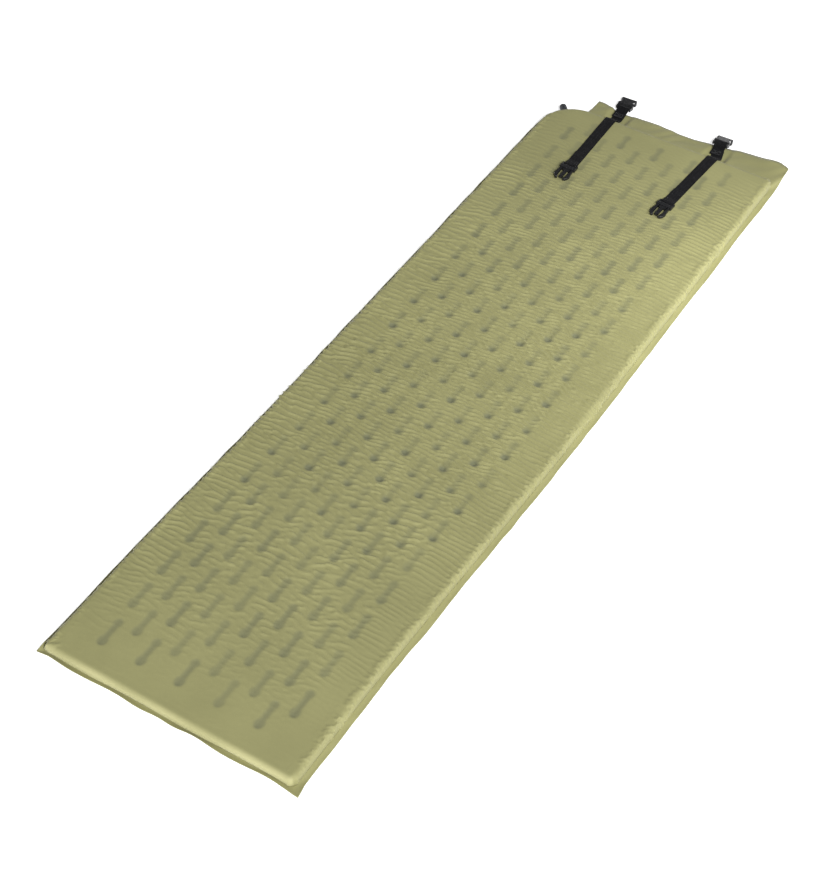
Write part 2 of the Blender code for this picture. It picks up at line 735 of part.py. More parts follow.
def main():
    clear_scene()
    olive = make_material("olive_polyester", OLIVE, 0.55)
    olive_under = make_material("olive_polyester_under", OLIVE_UNDER, 0.70)
    foam = make_material("open_cell_foam", FOAM_YELLOW, 0.95)
    webbing = make_material("black_webbing", BLACK_WEBBING, 0.70)
    plastic = make_material("black_acetal", BLACK_PLASTIC, 0.35)
    valve_plastic = make_material("valve_plastic", VALVE_BLUE_BLACK, 0.40)
    rubber = make_material("seal_rubber", BLACK_PLASTIC, 0.80)
    thread = make_material("black_thread", THREAD, 0.60)

    stations = perimeter()
    valve_frame = make_valve_frame()
    make_bottom_skin(stations, olive_under)
    make_foam_core(stations, foam, valve_frame)
    make_top_skin(stations, olive, valve_frame)
    make_valve(valve_frame, valve_plastic, rubber)
    for side, strap in STRAPS.items():
        make_strap(side, strap, webbing, plastic, thread)


main()
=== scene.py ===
"""Looks of the self-inflating sleeping pad: wrinkled coated fabric over slotted foam, welded flange,
webbing straps with their sewing, moulded buckles and the corner valve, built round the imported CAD."""

import math

import bpy
import numpy as np
from mathutils import Matrix, Vector


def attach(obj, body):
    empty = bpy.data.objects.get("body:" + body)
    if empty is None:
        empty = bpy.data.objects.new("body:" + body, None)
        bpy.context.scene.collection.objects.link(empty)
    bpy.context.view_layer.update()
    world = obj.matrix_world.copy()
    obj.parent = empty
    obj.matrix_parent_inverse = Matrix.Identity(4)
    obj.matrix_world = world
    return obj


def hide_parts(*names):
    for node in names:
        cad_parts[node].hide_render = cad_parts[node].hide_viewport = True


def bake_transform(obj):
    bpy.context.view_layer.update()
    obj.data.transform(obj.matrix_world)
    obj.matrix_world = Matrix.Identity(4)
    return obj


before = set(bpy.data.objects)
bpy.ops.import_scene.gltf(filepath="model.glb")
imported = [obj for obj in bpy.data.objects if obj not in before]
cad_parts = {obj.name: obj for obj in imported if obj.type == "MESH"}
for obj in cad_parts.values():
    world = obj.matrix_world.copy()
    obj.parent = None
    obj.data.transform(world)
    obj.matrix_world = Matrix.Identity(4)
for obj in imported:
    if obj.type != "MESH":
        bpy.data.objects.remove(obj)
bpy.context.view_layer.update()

SCENE = bpy.context.scene
SCENE.view_settings.view_transform = "Standard"

# ------------ plan of the pad, in metres
FOOT, HEAD = -0.905, 0.841
LEFT_WALL, RIGHT_WALL = (-0.2520, -0.2460), (0.2440, 0.2595)  # X at the foot, and past the taper
HEAD_RIM, HEAD_RIM_RISE, HEAD_RIM_TIP = 0.898, 0.020, 0.008
SIDE_FLANGE, FOOT_FLANGE, VALVE_FLANGE = 0.0105, 0.0085, 0.003
CORNER, VALVE_CORNER = 0.012, 0.080
NOTCH_ANGLE, TIP_ANGLE = 100.0, 141.0  # degrees round the valve's corner where the cut in the flange is
FOOT_LEFT_TIP, FOOT_RIGHT_TIP, HEAD_RIGHT_TIP = (-0.2610, -0.9155), (0.2580, -0.9165), (0.2670, 0.9090)
INSET = 0.022  # the fine grid of the top starts this far inside the walls
WIDTH = 0.510  # nominal: it sets how many columns the fine grid has
STEP_X, STEP_Y = 0.0030, 0.0015
TOP = 0.0249
SHOULDER_Z = 0.0165
FLANGE_Z = 0.0019
RIPPLE, CROSS_RIPPLE = 0.0033, 0.00013
LEAST_OVER_FOAM, LEAST_OVER_SLOT = -0.00078, -0.004  # the skin sinks no lower than this from TOP
FOOT_OVERHANG, FOOT_LIP = 0.0038, 0.0012
HEAD_CORNER_LIFT, FOOT_FLANGE_LIFT, LEFT_FLANGE_LIFT = 0.0075, 0.0042, 0.0030
SLOT_COLUMNS, SLOT_ROWS = 10, 21
SLOT_FIRST, SLOT_PITCH, SLOT_PITCH_LOSS = -0.8195, 0.0845, 0.00031
SLOT_COLUMN_PITCH, SLOT_DRIFT = 0.0389, 0.008
SLOT_LENGTH = (0.062, 0.050)  # at the foot, and towards the head
SLOT_WAIST, SLOT_END, SLOT_FLARE = 0.00525, 0.00825, 0.01485  # half widths, and length of the widening
DIMPLE, DIMPLE_WAIST = 0.0088, 0.0056  # half widths of the softer shape that shows in the skin
PIT_DEPTH, FAR_PIT_DEPTH = 0.0022, 0.0013
# Creep of the foam at these steps along a column: across, along, and along per column off the middle.
CREEP_STEPS = (0, 1, 2.5, 4.5, 6, 7.2, 10, 12, 14.5, 16, 18, 20.5)
CREEP_X = (0.0054, 0.0003, -0.0039, -0.0060, -0.0043, 0.0028,
           0.0018, -0.0027, -0.0010, -0.0011, -0.0019, -0.0041)
CREEP_Y = (-0.0073, 0.0004, 0.0036, 0.0053, 0.0027, -0.0041,
           -0.0059, -0.0023, -0.0050, -0.0016, 0.0004, 0.0018)
CREEP_LEAN = (0.0003, 0.0009, 0.0020, 0.0026, 0.0024, 0.0020,
              0.0016, 0.0011, 0.0003, 0.0, 0.0003, 0.0004)


def smooth(t):
    t = np.clip(t, 0.0, 1.0)
    return t * t * (3.0 - 2.0 * t)


def mix(a, b, t):
    return a + (b - a) * t


def turned(degrees):
    """Sideways and forward directions of a line that is turned this much from +Y."""
    heading = math.radians(degrees)
    side = Vector((math.cos(heading), math.sin(heading), 0.0))
    return side, Vector((-math.sin(heading), math.cos(heading), 0.0))


def new_object(name, points, faces):
    mesh = bpy.data.meshes.new(name)
    mesh.from_pydata(points, [], faces)
    obj = bpy.data.objects.new(name, mesh)
    SCENE.collection.objects.link(obj)
    return obj


def smooth_object(name, points, faces):
    obj = new_object(name, points, faces)
    obj.data.shade_smooth()
    return obj


def left_wall(y):
    return mix(*LEFT_WALL, smooth((y + 0.65) / 0.40))


def right_wall(y):
    return mix(*RIGHT_WALL, smooth((y + 0.75) / 0.80))


def head_edge(x):
    """Rim of the head flange: wider towards its right end, and at its cut left end."""
    return HEAD_RIM + HEAD_RIM_RISE * smooth(x / 0.20) + HEAD_RIM_TIP * smooth((-0.12 - x) / 0.05)


def slot_places():
    """Centre, length and share along the pad of every die-cut slot under the skin."""
    middle = (SLOT_COLUMNS - 1) / 2
    for column in range(SLOT_COLUMNS):
        for row in range(SLOT_ROWS):
            step = row + 0.5 * (column % 2)
            y = SLOT_FIRST + SLOT_PITCH * step - SLOT_PITCH_LOSS * step * step
            drift = SLOT_DRIFT * float(smooth((y + 0.75) / 0.80)) - SLOT_DRIFT / 2
            creep_x, creep_y, lean = (
                float(np.interp(step, CREEP_STEPS, values)) for values in (CREEP_X, CREEP_Y, CREEP_LEAN))
            x = (column - middle) * SLOT_COLUMN_PITCH + drift + creep_x
            y += creep_y + lean * (column - middle)
            along = (y - FOOT) / (HEAD - FOOT)
            yield x, y, mix(*SLOT_LENGTH, float(smooth(along * 1.6))), along


# ------------ relief of the skin, on a raster
RASTER = 0.00125
RASTER_LOW = np.array([-0.285, -0.935])
RASTER_SHAPE = (1488, 456)  # rows along Y, columns along X
GX = RASTER_LOW[0] + RASTER * np.arange(RASTER_SHAPE[1])
GY = RASTER_LOW[1] + RASTER * np.arange(RASTER_SHAPE[0])
XX, YY = np.meshgrid(GX, GY)


def wave_field(seed, wavelength, spread, lean, sharpness):
    """Complex field of wrinkle waves: crests run along X, turned by lean, with forks and dead ends."""
    rows, columns = RASTER_SHAPE
    noise = np.random.default_rng(seed).standard_normal(RASTER_SHAPE)
    ky = np.fft.fftfreq(rows, RASTER)[:, None]
    kx = np.fft.fftfreq(columns, RASTER)[None, :]
    k = np.hypot(kx, ky) + 1e-9
    direction = np.arctan2(kx, ky) - lean
    radial = np.exp(-0.5 * ((k - 1.0 / wavelength) * wavelength / sharpness) ** 2)
    angular = np.exp(-0.5 * (direction / spread) ** 2)
    field = np.fft.ifft2(np.fft.fft2(noise) * radial * angular)
    return field / np.sqrt(np.mean(np.abs(field) ** 2))


def soft_noise(seed, size):
    """Smooth noise of unit spread, with features of about this size."""
    noise = np.random.default_rng(seed).standard_normal(RASTER_SHAPE)
    field = blur(noise, size / 2.5)
    return field / field.std()


def blur(field, size):
    rows, columns = field.shape
    ky = np.fft.fftfreq(rows, RASTER)[:, None]
    kx = np.fft.fftfreq(columns, RASTER)[None, :]
    kernel = np.exp(-2.0 * (math.pi * size) ** 2 * (kx ** 2 + ky ** 2))
    return np.real(np.fft.ifft2(np.fft.fft2(field) * kernel))


def slot_shapes(u, v, half):
    """How far a place is inside the foam's cut, and outside the softer shape that shows in the skin."""
    flare = np.clip((np.abs(v) - half + SLOT_FLARE) / SLOT_FLARE, 0.0, 1.0)
    inside = np.minimum(mix(SLOT_WAIST, SLOT_END, flare) - np.abs(u), half - np.abs(v))
    foot_end = np.hypot(u, (v + half - 1.25 * DIMPLE) / 1.25) - DIMPLE
    head_end = np.hypot(u, (v - half + DIMPLE) / 1.1) - 0.90 * DIMPLE
    waist = np.maximum(np.abs(u) - DIMPLE_WAIST, np.abs(v) - (half - DIMPLE))
    return inside, np.minimum(np.minimum(foot_end, head_end), waist)


def slot_relief():
    """On the raster: depth of the skin over each slot, how dark it is painted, its pits, and the foam's
    hollow. The darkness is partly the skin's greyer look over the cut and partly painted shade of the sunk
    slot and its pits.
    """
    depth, shade, pits, hollow = (np.zeros(RASTER_SHAPE) for _ in range(4))
    rng = np.random.default_rng(5)

    def keep_most(field, window, values):
        field[window] = np.maximum(field[window], values)

    for x, y, length, along in slot_places():
        window = np.ix_(np.where(np.abs(GY - y) < 0.046)[0], np.where(np.abs(GX - x) < 0.020)[0])
        u, v = XX[window] - x, YY[window] - y
        half = length / 2
        inside, edge = slot_shapes(u, v, half)
        taut = float(smooth((along - 0.20) / 0.16) * smooth((0.80 - along) / 0.20))
        strength = 0.75 + 0.4 * rng.random()
        shift = rng.uniform(-0.0014, 0.0014, 2)
        spot = ((u - shift[0]) / 0.0058) ** 2 + ((v + half - 0.0074 - shift[1]) / 0.0050) ** 2
        pit = np.exp(-0.5 * spot ** 1.3) * rng.uniform(0.65, 1.15)
        far_spot = (u / 0.0048) ** 2 + ((v - half + 0.0070) / 0.0040) ** 2
        far_pit = np.exp(-0.5 * far_spot) * rng.uniform(0.0, 0.55)
        foot_part = smooth((-v - 0.2 * half) / (0.8 * half))
        sink = smooth((0.0012 - edge) / 0.0038)
        sunk = sink * (0.0006 * mix(1.0, 0.62, taut) + 0.0003 * foot_part)
        # tone: darker colour over the slot, partly the skin's greyer look over the cut and partly painted
        # shade of its sunk middle
        tone = smooth((0.0024 - edge) / 0.0040) * (0.80 + 0.20 * smooth((0.0040 - np.abs(u)) / 0.0040))
        tone = tone * mix(1.30, 0.72, taut) * (0.80 + 0.25 * foot_part)
        tone = tone * mix(1.0, 0.95, float(smooth((along - 0.75) / 0.15)))
        keep_most(hollow, window, smooth((inside - 0.0018) / 0.0016))
        keep_most(depth, window, strength * (sunk + (PIT_DEPTH * pit + FAR_PIT_DEPTH * far_pit) * taut))
        # the pits add dark spots of painted shade in the little hollows
        keep_most(shade, window, strength * (tone + (1.55 * pit + 0.8 * far_pit) * taut))
        keep_most(pits, window, pit * taut + 0.35 * sink * (1.0 - taut))
    return blur(depth, 0.0008), np.clip(blur(shade, 0.0010), 0.0, 1.8), blur(pits, 0.004), hollow


def ripple_strength(along, at_left, at_right):
    """How strong the wrinkles are along the pad, in its middle and in the bands beside its two walls."""
    places = (0.0, 0.04, 0.10, 0.16, 0.25, 0.35, 0.50, 0.65, 0.80, 0.90, 0.96, 1.0)
    middle = np.interp(along, places, (0.0, 0.05, 0.26, 0.40, 0.52, 0.85, 1.05, 0.85, 0.48, 0.26, 0.08, 0.0))
    left = np.interp(along, places, (0.0, 0.06, 0.30, 0.60, 0.95, 1.2, 1.25, 0.95, 0.45, 0.20, 0.08, 0.0))
    right = np.interp(along, places, (0.0, 0.03, 0.10, 0.25, 0.55, 1.1, 1.4, 1.15, 0.75, 0.50, 0.15, 0.0))
    return mix(mix(middle, left, at_left), right, at_right)


def ripple_relief(slots, pits):
    """Fine wrinkles across the pad: strongest in the middle, none at the two ends."""
    along = (YY - FOOT) / (HEAD - FOOT)
    left = XX - left_wall(YY)
    right = right_wall(YY) - XX
    at_right = smooth((0.082 - right) / 0.025)
    at_left = smooth((0.080 - left) / 0.025)
    to_head = smooth((along - 0.26) / 0.16)
    loose = wave_field(11, 0.0150, 0.55, 0.05, 0.28)
    tight = wave_field(15, 0.0100, 0.36, 0.08, 0.22)
    right_comb = wave_field(12, 0.0108, 0.15, 0.08, 0.16)
    left_comb = wave_field(13, 0.0130, 0.28, -0.05, 0.26)
    middle = loose * (1.0 - to_head) + tight * to_head
    field = middle * (1.0 - at_right) * (1.0 - at_left) + right_comb * at_right + left_comb * at_left
    bend = 2.4 * blur(pits, 0.005) / 0.35 + 0.9 * soft_noise(21, 0.05)
    phase = np.angle(field) + bend * (1.0 - at_right) * (1.0 - 0.6 * at_left)
    crest = 0.52 * np.cos(phase) + 0.20 * np.cos(2.0 * phase)
    size = 0.45 + 0.55 * np.minimum(np.abs(field), 1.6)
    strength = ripple_strength(along, at_left, at_right)
    patch = np.clip(1.0 + 0.20 * soft_noise(22, 0.045), 0.45, 1.5)
    calm = 1.0 - 0.55 * np.clip(slots / 0.0010, 0.0, 1.0)
    cross = np.real(wave_field(14, 0.017, 1.2, 0.6, 0.35))
    height = (RIPPLE * crest * size * patch + CROSS_RIPPLE * cross) * strength * calm
    edge_fade = smooth((np.minimum(left, right) - 0.0035) / 0.012)
    return height * mix(edge_fade, 1.0, 0.45)


def sample(field, x, y):
    """Bilinear reading of a raster field."""
    u = np.clip((np.asarray(x) - RASTER_LOW[0]) / RASTER, 0, RASTER_SHAPE[1] - 1.001)
    v = np.clip((np.asarray(y) - RASTER_LOW[1]) / RASTER, 0, RASTER_SHAPE[0] - 1.001)
    i, j = u.astype(int), v.astype(int)
    s, t = u - i, v - j
    low = mix(field[j, i], field[j, i + 1], s)
    high = mix(field[j + 1, i], field[j + 1, i + 1], s)
    return mix(low, high, t)


# ------------ grid of the top and stations round it
NX = int(round((WIDTH - 2 * INSET) / STEP_X))
NY = int(round((HEAD - FOOT - 2 * INSET) / STEP_Y))
VALVE_CENTRE = np.array([left_wall(HEAD) + VALVE_CORNER, HEAD - VALVE_CORNER])


def top_grid():
    j, i = np.meshgrid(np.arange(NY + 1), np.arange(NX + 1), indexing="ij")
    y = mix(FOOT + INSET, HEAD - INSET, j / NY)
    x = mix(left_wall(y) + INSET, right_wall(y) - INSET, i / NX)
    radius = VALVE_CORNER - INSET
    cx, cy = VALVE_CENTRE
    a = np.clip((cx - x) / radius, 0.0, 1.0)
    b = np.clip((y - cy) / radius, 0.0, 1.0)
    corner = (a > 0.0) & (b > 0.0)
    x = np.where(corner, cx - radius * a * np.sqrt(1.0 - b * b / 2.0), x)
    y = np.where(corner, cy + radius * b * np.sqrt(1.0 - a * a / 2.0), y)
    return x, y


def valve_station(point):
    """Wall, normal and flange edge on the rounded corner. The flange is cut back in the middle of it."""
    normal = (point - VALVE_CENTRE) / np.linalg.norm(point - VALVE_CENTRE)
    wall = VALVE_CENTRE + normal * VALVE_CORNER
    degrees = math.degrees(math.atan2(normal[1], normal[0]))
    flange = wall + normal * VALVE_FLANGE
    if degrees < NOTCH_ANGLE:
        flange = np.array([wall[0], head_edge(wall[0])])
    if degrees > TIP_ANGLE:
        tuck = mix(0.0055, 0.0, (degrees - TIP_ANGLE) / (180.0 - TIP_ANGLE))
        flange = np.array([left_wall(wall[1]) - SIDE_FLANGE + tuck, wall[1]])
    return wall, normal, flange


def fan(index, centre, start, sides, tip):
    """Stations that turn a square corner of the grid round the small corner of the wall."""
    first, last = sides
    turn = math.radians(start)
    n0 = np.array([math.cos(turn), math.sin(turn)])
    n1 = np.array([-n0[1], n0[0]])
    out = []
    for k in range(4):
        wall = centre + n0 * CORNER - n1 * ((INSET - CORNER) * (1.0 - k / 4))
        out.append((index, wall, n0, first(wall)))
    a = first(centre + n0 * CORNER)
    b = last(centre + n1 * CORNER)
    for k in range(13):
        t = k / 12
        angle = turn + t * math.pi / 2
        normal = np.array([math.cos(angle), math.sin(angle)])
        flange = mix(a, tip, t * 2) if t < 0.5 else mix(tip, b, t * 2 - 1)
        out.append((index, centre + normal * CORNER, normal, flange))
    for k in range(1, 5):
        wall = centre + n1 * CORNER - n0 * ((INSET - CORNER) * k / 4)
        out.append((index, wall, n1, last(wall)))
    return out


def stations_round(x, y):
    """Stations anticlockwise from the foot's left corner: grid index, wall, normal, flange edge."""
    def foot_side(p):
        return np.array([p[0], FOOT - FOOT_FLANGE])

    def right_side(p):
        return np.array([right_wall(p[1]) + SIDE_FLANGE, p[1]])

    def head_side(p):
        return np.array([p[0], head_edge(p[0])])

    def left_side(p):
        return np.array([left_wall(p[1]) - SIDE_FLANGE, p[1]])

    def number(i, j):
        return j * (NX + 1) + i

    foot_left, foot_right = left_wall(FOOT), right_wall(FOOT)
    head_right = right_wall(HEAD)
    out = fan(number(0, 0), np.array([foot_left + CORNER, FOOT + CORNER]), 180.0,
              (left_side, foot_side), np.array(FOOT_LEFT_TIP))
    for i in range(1, NX):
        wall = np.array([x[0, i], FOOT])
        out.append((number(i, 0), wall, np.array([0.0, -1.0]), foot_side(wall)))
    out += fan(number(NX, 0), np.array([foot_right - CORNER, FOOT + CORNER]), 270.0,
               (foot_side, right_side), np.array(FOOT_RIGHT_TIP))
    for j in range(1, NY):
        wall = np.array([right_wall(y[j, NX]), y[j, NX]])
        out.append((number(NX, j), wall, np.array([1.0, 0.0]), right_side(wall)))
    out += fan(number(NX, NY), np.array([head_right - CORNER, HEAD - CORNER]), 0.0,
               (right_side, head_side), np.array(HEAD_RIGHT_TIP))
    for i in range(NX - 1, 0, -1):
        point = np.array([x[NY, i], y[NY, i]])
        if point[0] < VALVE_CENTRE[0]:
            out.append((number(i, NY), *valve_station(point)))
        else:
            wall = np.array([point[0], HEAD])
            out.append((number(i, NY), wall, np.array([0.0, 1.0]), head_side(wall)))
    for j in range(NY, 0, -1):
        point = np.array([x[j, 0], y[j, 0]])
        if point[1] > VALVE_CENTRE[1]:
            out.append((number(0, j), *valve_station(point)))
        else:
            wall = np.array([left_wall(point[1]), point[1]])
            out.append((number(0, j), wall, np.array([-1.0, 0.0]), left_side(wall)))
    return out


# ------------ cloth of the shoulder and wall
SHOULDER_ROWS = np.array([0.0195, 0.0170, 0.0145, 0.0122, 0.0102, 0.0085, 0.0070, 0.0056, 0.0043,
                          0.0031, 0.0021, 0.0012, 0.0005, 0.0])
WALL_ROWS = np.array([0.0150, 0.0134, 0.0116, 0.0098, 0.0080, 0.0063, 0.0048, 0.0035, 0.0025])
FLANGE_ROWS = (0.02, 0.10, 0.22, 0.36, 0.50, 0.64, 0.78, 0.90, 1.0)
OUT_LIMITS, UP_LIMITS = (-0.0003, 0.0024), (-0.0001, 0.0014)  # how far the settled cloth may move
CLOTH_STRIDE, CLOTH_FRAMES = 3, 18
CLOTH_SETTINGS = {
    "quality": 5,
    "mass": 0.12,
    "tension_stiffness": 12.0,
    "compression_stiffness": 12.0,
    "shear_stiffness": 4.0,
    "bending_stiffness": 0.02,
    "shrink_min": -0.09,
    "shrink_max": -0.09,
    "vertex_group_mass": "sewn",
    "use_pressure": True,
    "uniform_pressure_force": 2.5,
}


def shoulder_profile(q):
    """Height of the rounded top edge at inset q from the wall."""
    t = np.clip(q / 0.0105, 0.0, 1.0)
    return SHOULDER_Z + (TOP - SHOULDER_Z) * (1.0 - (1.0 - t) ** 2.3) ** (1.0 / 2.1)


def profile_rows():
    """Inset, height and outward lean of each row, from the grid's edge down to the flange."""
    inset = np.concatenate([SHOULDER_ROWS, np.zeros(len(WALL_ROWS))])
    height = np.concatenate([shoulder_profile(SHOULDER_ROWS), WALL_ROWS])
    bulge = 0.0010 * np.sin(np.pi * np.clip((height - 0.002) / 0.018, 0.0, 1.0))
    inset = inset - np.where(inset < 0.004, bulge, 0.0)
    dq = np.gradient(inset)
    dz = np.gradient(height)
    length = np.hypot(dq, dz)
    return inset, height, -dz / length, -dq / length  # lean: outward and upward parts of the normal


def band_at_rest(stations, inner, levels, arc, inset, height):
    """Points of a coarser band of cloth, one row of levels for each picked station."""
    walls, normals = (np.array([station[part] for station in stations]) for part in (1, 2))
    q = np.interp(levels, arc, inset)
    z = np.interp(levels, arc, height)
    share = np.clip(q / INSET, 0.0, 1.0)[None, :, None]
    outside = normals[:, None, :] * np.maximum(-q, 0.0)[None, :, None]
    plan = mix(walls[:, None, :], inner[:, None, :], share) + outside
    return np.dstack([plan, np.broadcast_to(z, plan.shape[:2])]), normals


def settle_cloth(rest, normals):
    """Swells and puckers a closed band of cloth that is sewn along both edges. Gives its new points."""
    count, rows = rest.shape[:2]
    faces = []
    for s in range(count):
        t = (s + 1) % count
        faces += [(s * rows + r, t * rows + r, t * rows + r + 1, s * rows + r + 1) for r in range(rows - 1)]
    band = new_object("cloth_band", rest.reshape(-1, 3).tolist(), faces)
    pins = band.vertex_groups.new(name="sewn")
    pins.add([s * rows + r for s in range(count) for r in (0, 1, rows - 1)], 1.0, "REPLACE")
    pins.add([s * rows + r for s in range(count) for r in range(2, rows - 1)], 0.06, "REPLACE")
    cloth = band.modifiers.new("cloth", "CLOTH")
    for name, value in CLOTH_SETTINGS.items():
        setattr(cloth.settings, name, value)
    cloth.settings.effector_weights.gravity = 0.0
    cloth.collision_settings.use_collision = False
    push = np.random.default_rng(3).standard_normal((count, rows, 1)) * 0.0002
    start = rest + push * np.dstack([normals[:, None, :].repeat(rows, 1), np.ones((count, rows, 1))])
    band.data.vertices.foreach_set("co", start.reshape(-1).astype(np.float32))
    for number in range(1, CLOTH_FRAMES + 1):
        SCENE.frame_set(number)
    made = band.evaluated_get(bpy.context.evaluated_depsgraph_get())
    points = np.empty(count * rows * 3, np.float32)
    made.data.vertices.foreach_get("co", points)
    SCENE.frame_set(1)
    bpy.data.objects.remove(band)
    return points.reshape(count, rows, 3)


def cloth_band(stations, inner):
    """Lets the loose cloth of shoulder and wall swell and pucker: how far it moves, out and up."""
    inset, height, _, _ = profile_rows()
    arc = np.concatenate([[0.0], np.cumsum(np.hypot(np.diff(inset), np.diff(height)))])
    levels = np.linspace(0.0, arc[-1], 10)
    rest, normals = band_at_rest(stations[::CLOTH_STRIDE], inner[::CLOTH_STRIDE], levels, arc, inset, height)
    moved = settle_cloth(rest, normals) - rest
    out = (moved[:, :, :2] * normals[:, None, :]).sum(2)
    spots = np.arange(len(stations)) / CLOTH_STRIDE
    low = np.floor(spots).astype(int) % len(rest)
    high = (low + 1) % len(rest)
    t = (spots - np.floor(spots))[:, None]
    result = []
    for part in (out, moved[:, :, 2]):
        along = mix(part[low], part[high], t)
        result.append(np.array([np.interp(arc, levels, row) for row in along]))
    return result


# ------------ meshes of the pad
STRAP_LINES = (-0.1160, 0.1180)  # X of the webbing where it presses on the top


def ring_quads(first, second):
    """Quads between two closed rows of point numbers."""
    a, b = np.asarray(first), np.asarray(second)
    return np.stack([a, np.roll(a, -1), np.roll(b, -1), b], 1)


def loop_noise(count, seed, waves):
    """Smooth noise round a closed loop, about unit size, with this many waves."""
    rng = np.random.default_rng(seed)
    k = np.arange(1, waves * 2)
    size = np.exp(-((k - waves) / (0.6 * waves)) ** 2)
    turn = rng.random(len(k)) * 2 * np.pi
    t = np.arange(count)[:, None] / count * 2 * np.pi
    field = (size * np.cos(k * t + turn)).sum(1)
    return field / field.std()


def strap_clearance(points):
    """1 away from the webbing, 0 under it."""
    near = np.minimum(*(np.abs(points[:, 0] - line) for line in STRAP_LINES))
    return np.maximum(smooth((near - 0.0185) / 0.012), smooth((0.600 - points[:, 1]) / 0.02))


class Shell:
    """Points, tones, painted ridge highlight and quads of the top fabric, added row by row round its upper
    face.
    """

    def __init__(self, points, tones, quads, edge):
        self.points, self.tones, self.rubs, self.quads = [points], [tones], [np.zeros(len(points))], [quads]
        self.total, self.last = len(points), edge

    def add_row(self, plan, level, tone=0.0, rub=0.0):
        count = len(plan)
        self.points.append(np.column_stack([plan, level]))
        self.tones.append(np.zeros(count) + tone)
        self.rubs.append(np.zeros(count) + rub)
        row = np.arange(self.total, self.total + count)
        self.quads.append(ring_quads(self.last, row)[:, ::-1])
        self.total, self.last = self.total + count, row

    def build(self, name):
        quads = np.concatenate(self.quads).tolist()
        obj = smooth_object(name, np.concatenate(self.points).tolist(), quads + [self.last[::-1].tolist()])
        # slot_tone: greyer skin over the slots with their painted shade; the second attribute: the painted
        # highlight along the foot's ridge
        for attribute, rows, most in (("slot_tone", self.tones, 2.0), ("rub", self.rubs, 0.95)):
            values = np.concatenate(rows).clip(0.0, most).astype(np.float32)
            obj.data.attributes.new(attribute, "FLOAT", "POINT").data.foreach_set("value", values)
        return obj


def top_quads():
    j, i = np.meshgrid(np.arange(NY), np.arange(NX), indexing="ij")
    a = (j * (NX + 1) + i).ravel()
    return np.stack([a, a + 1, a + NX + 2, a + NX + 1], 1)


def pad_relief():
    """On the raster: height of the upper face over TOP, then its ripples, swell, slot depth and slot tone."""
    depth, shade, pits, hollow = slot_relief()
    free = strap_clearance(np.dstack([XX, YY]).reshape(-1, 2)).reshape(XX.shape)
    ripple = np.minimum(ripple_relief(depth, pits), mix(0.0002, 0.0021, free))
    swell = 0.00028 * soft_noise(31, 0.14)
    relief = np.minimum(ripple + swell, mix(0.0003, 0.0022, free)) - depth
    return np.maximum(relief, mix(LEAST_OVER_FOAM, LEAST_OVER_SLOT, hollow)), ripple, swell, depth, shade


def add_shoulder_and_wall(shell, walls, normals, inner, moved, fields):
    """Rows over the shoulder and down the wall, which overhangs at the foot. A paler colour is painted along
    the foot's ridge as a painted highlight.
    """
    ripple, swell, depth, shade = fields
    count = len(walls)
    inset, height, out_part, up_part = profile_rows()
    at_foot = smooth((-0.90 - walls[:, 1]) / 0.004)
    foot_fold = at_foot * (0.0013 + 0.0008 * np.sin(walls[:, 0] * 31.0) + 0.0004 * loop_noise(count, 46, 30))
    # painted highlight along the foot's ridge: how strongly its paler colour is mixed in
    wear_and_highlight = (0.75 + 0.15 * loop_noise(count, 48, 40)) * at_foot
    fall_low = smooth((0.0175 - height) / 0.004)
    overhang = FOOT_OVERHANG * smooth((height - 0.0050) / 0.0095) * smooth((0.0260 - height) / 0.0060)
    crease = sample(ripple, *mix(walls, inner, 0.004 / INSET).T)
    for row in range(len(inset)):
        plan = mix(walls, inner, max(inset[row], 0.0) / INSET)
        fall = float(np.clip(height[row] / 0.02, 0.0, 1.0))
        bump = mix(crease * fall * 1.5, sample(ripple, *plan.T), float(smooth(inset[row] / 0.006)))
        bump = bump + sample(swell, *plan.T) * float(smooth(inset[row] / 0.010))
        bump = np.maximum(bump, -0.0004) - sample(depth, *plan.T)
        bump = bump + FOOT_LIP * at_foot * math.exp(-((inset[row] - 0.0035) / 0.0035) ** 2)
        fold = foot_fold * math.sin(height[row] * 900.0) * fall_low[row]
        out = np.clip(moved[0][:, row], *OUT_LIMITS) + fold + at_foot * overhang[row]
        up = np.clip(moved[1][:, row], *UP_LIMITS)
        plan = plan + normals * (bump * max(out_part[row], 0.0) + out - min(inset[row], 0.0))[:, None]
        # the painted highlight peaks just inside the foot's shoulder
        rub = wear_and_highlight * math.exp(-((inset[row] - 0.0012) / 0.0030) ** 2)
        shell.add_row(plan, height[row] + bump * up_part[row] + up, sample(shade, *plan.T), rub)


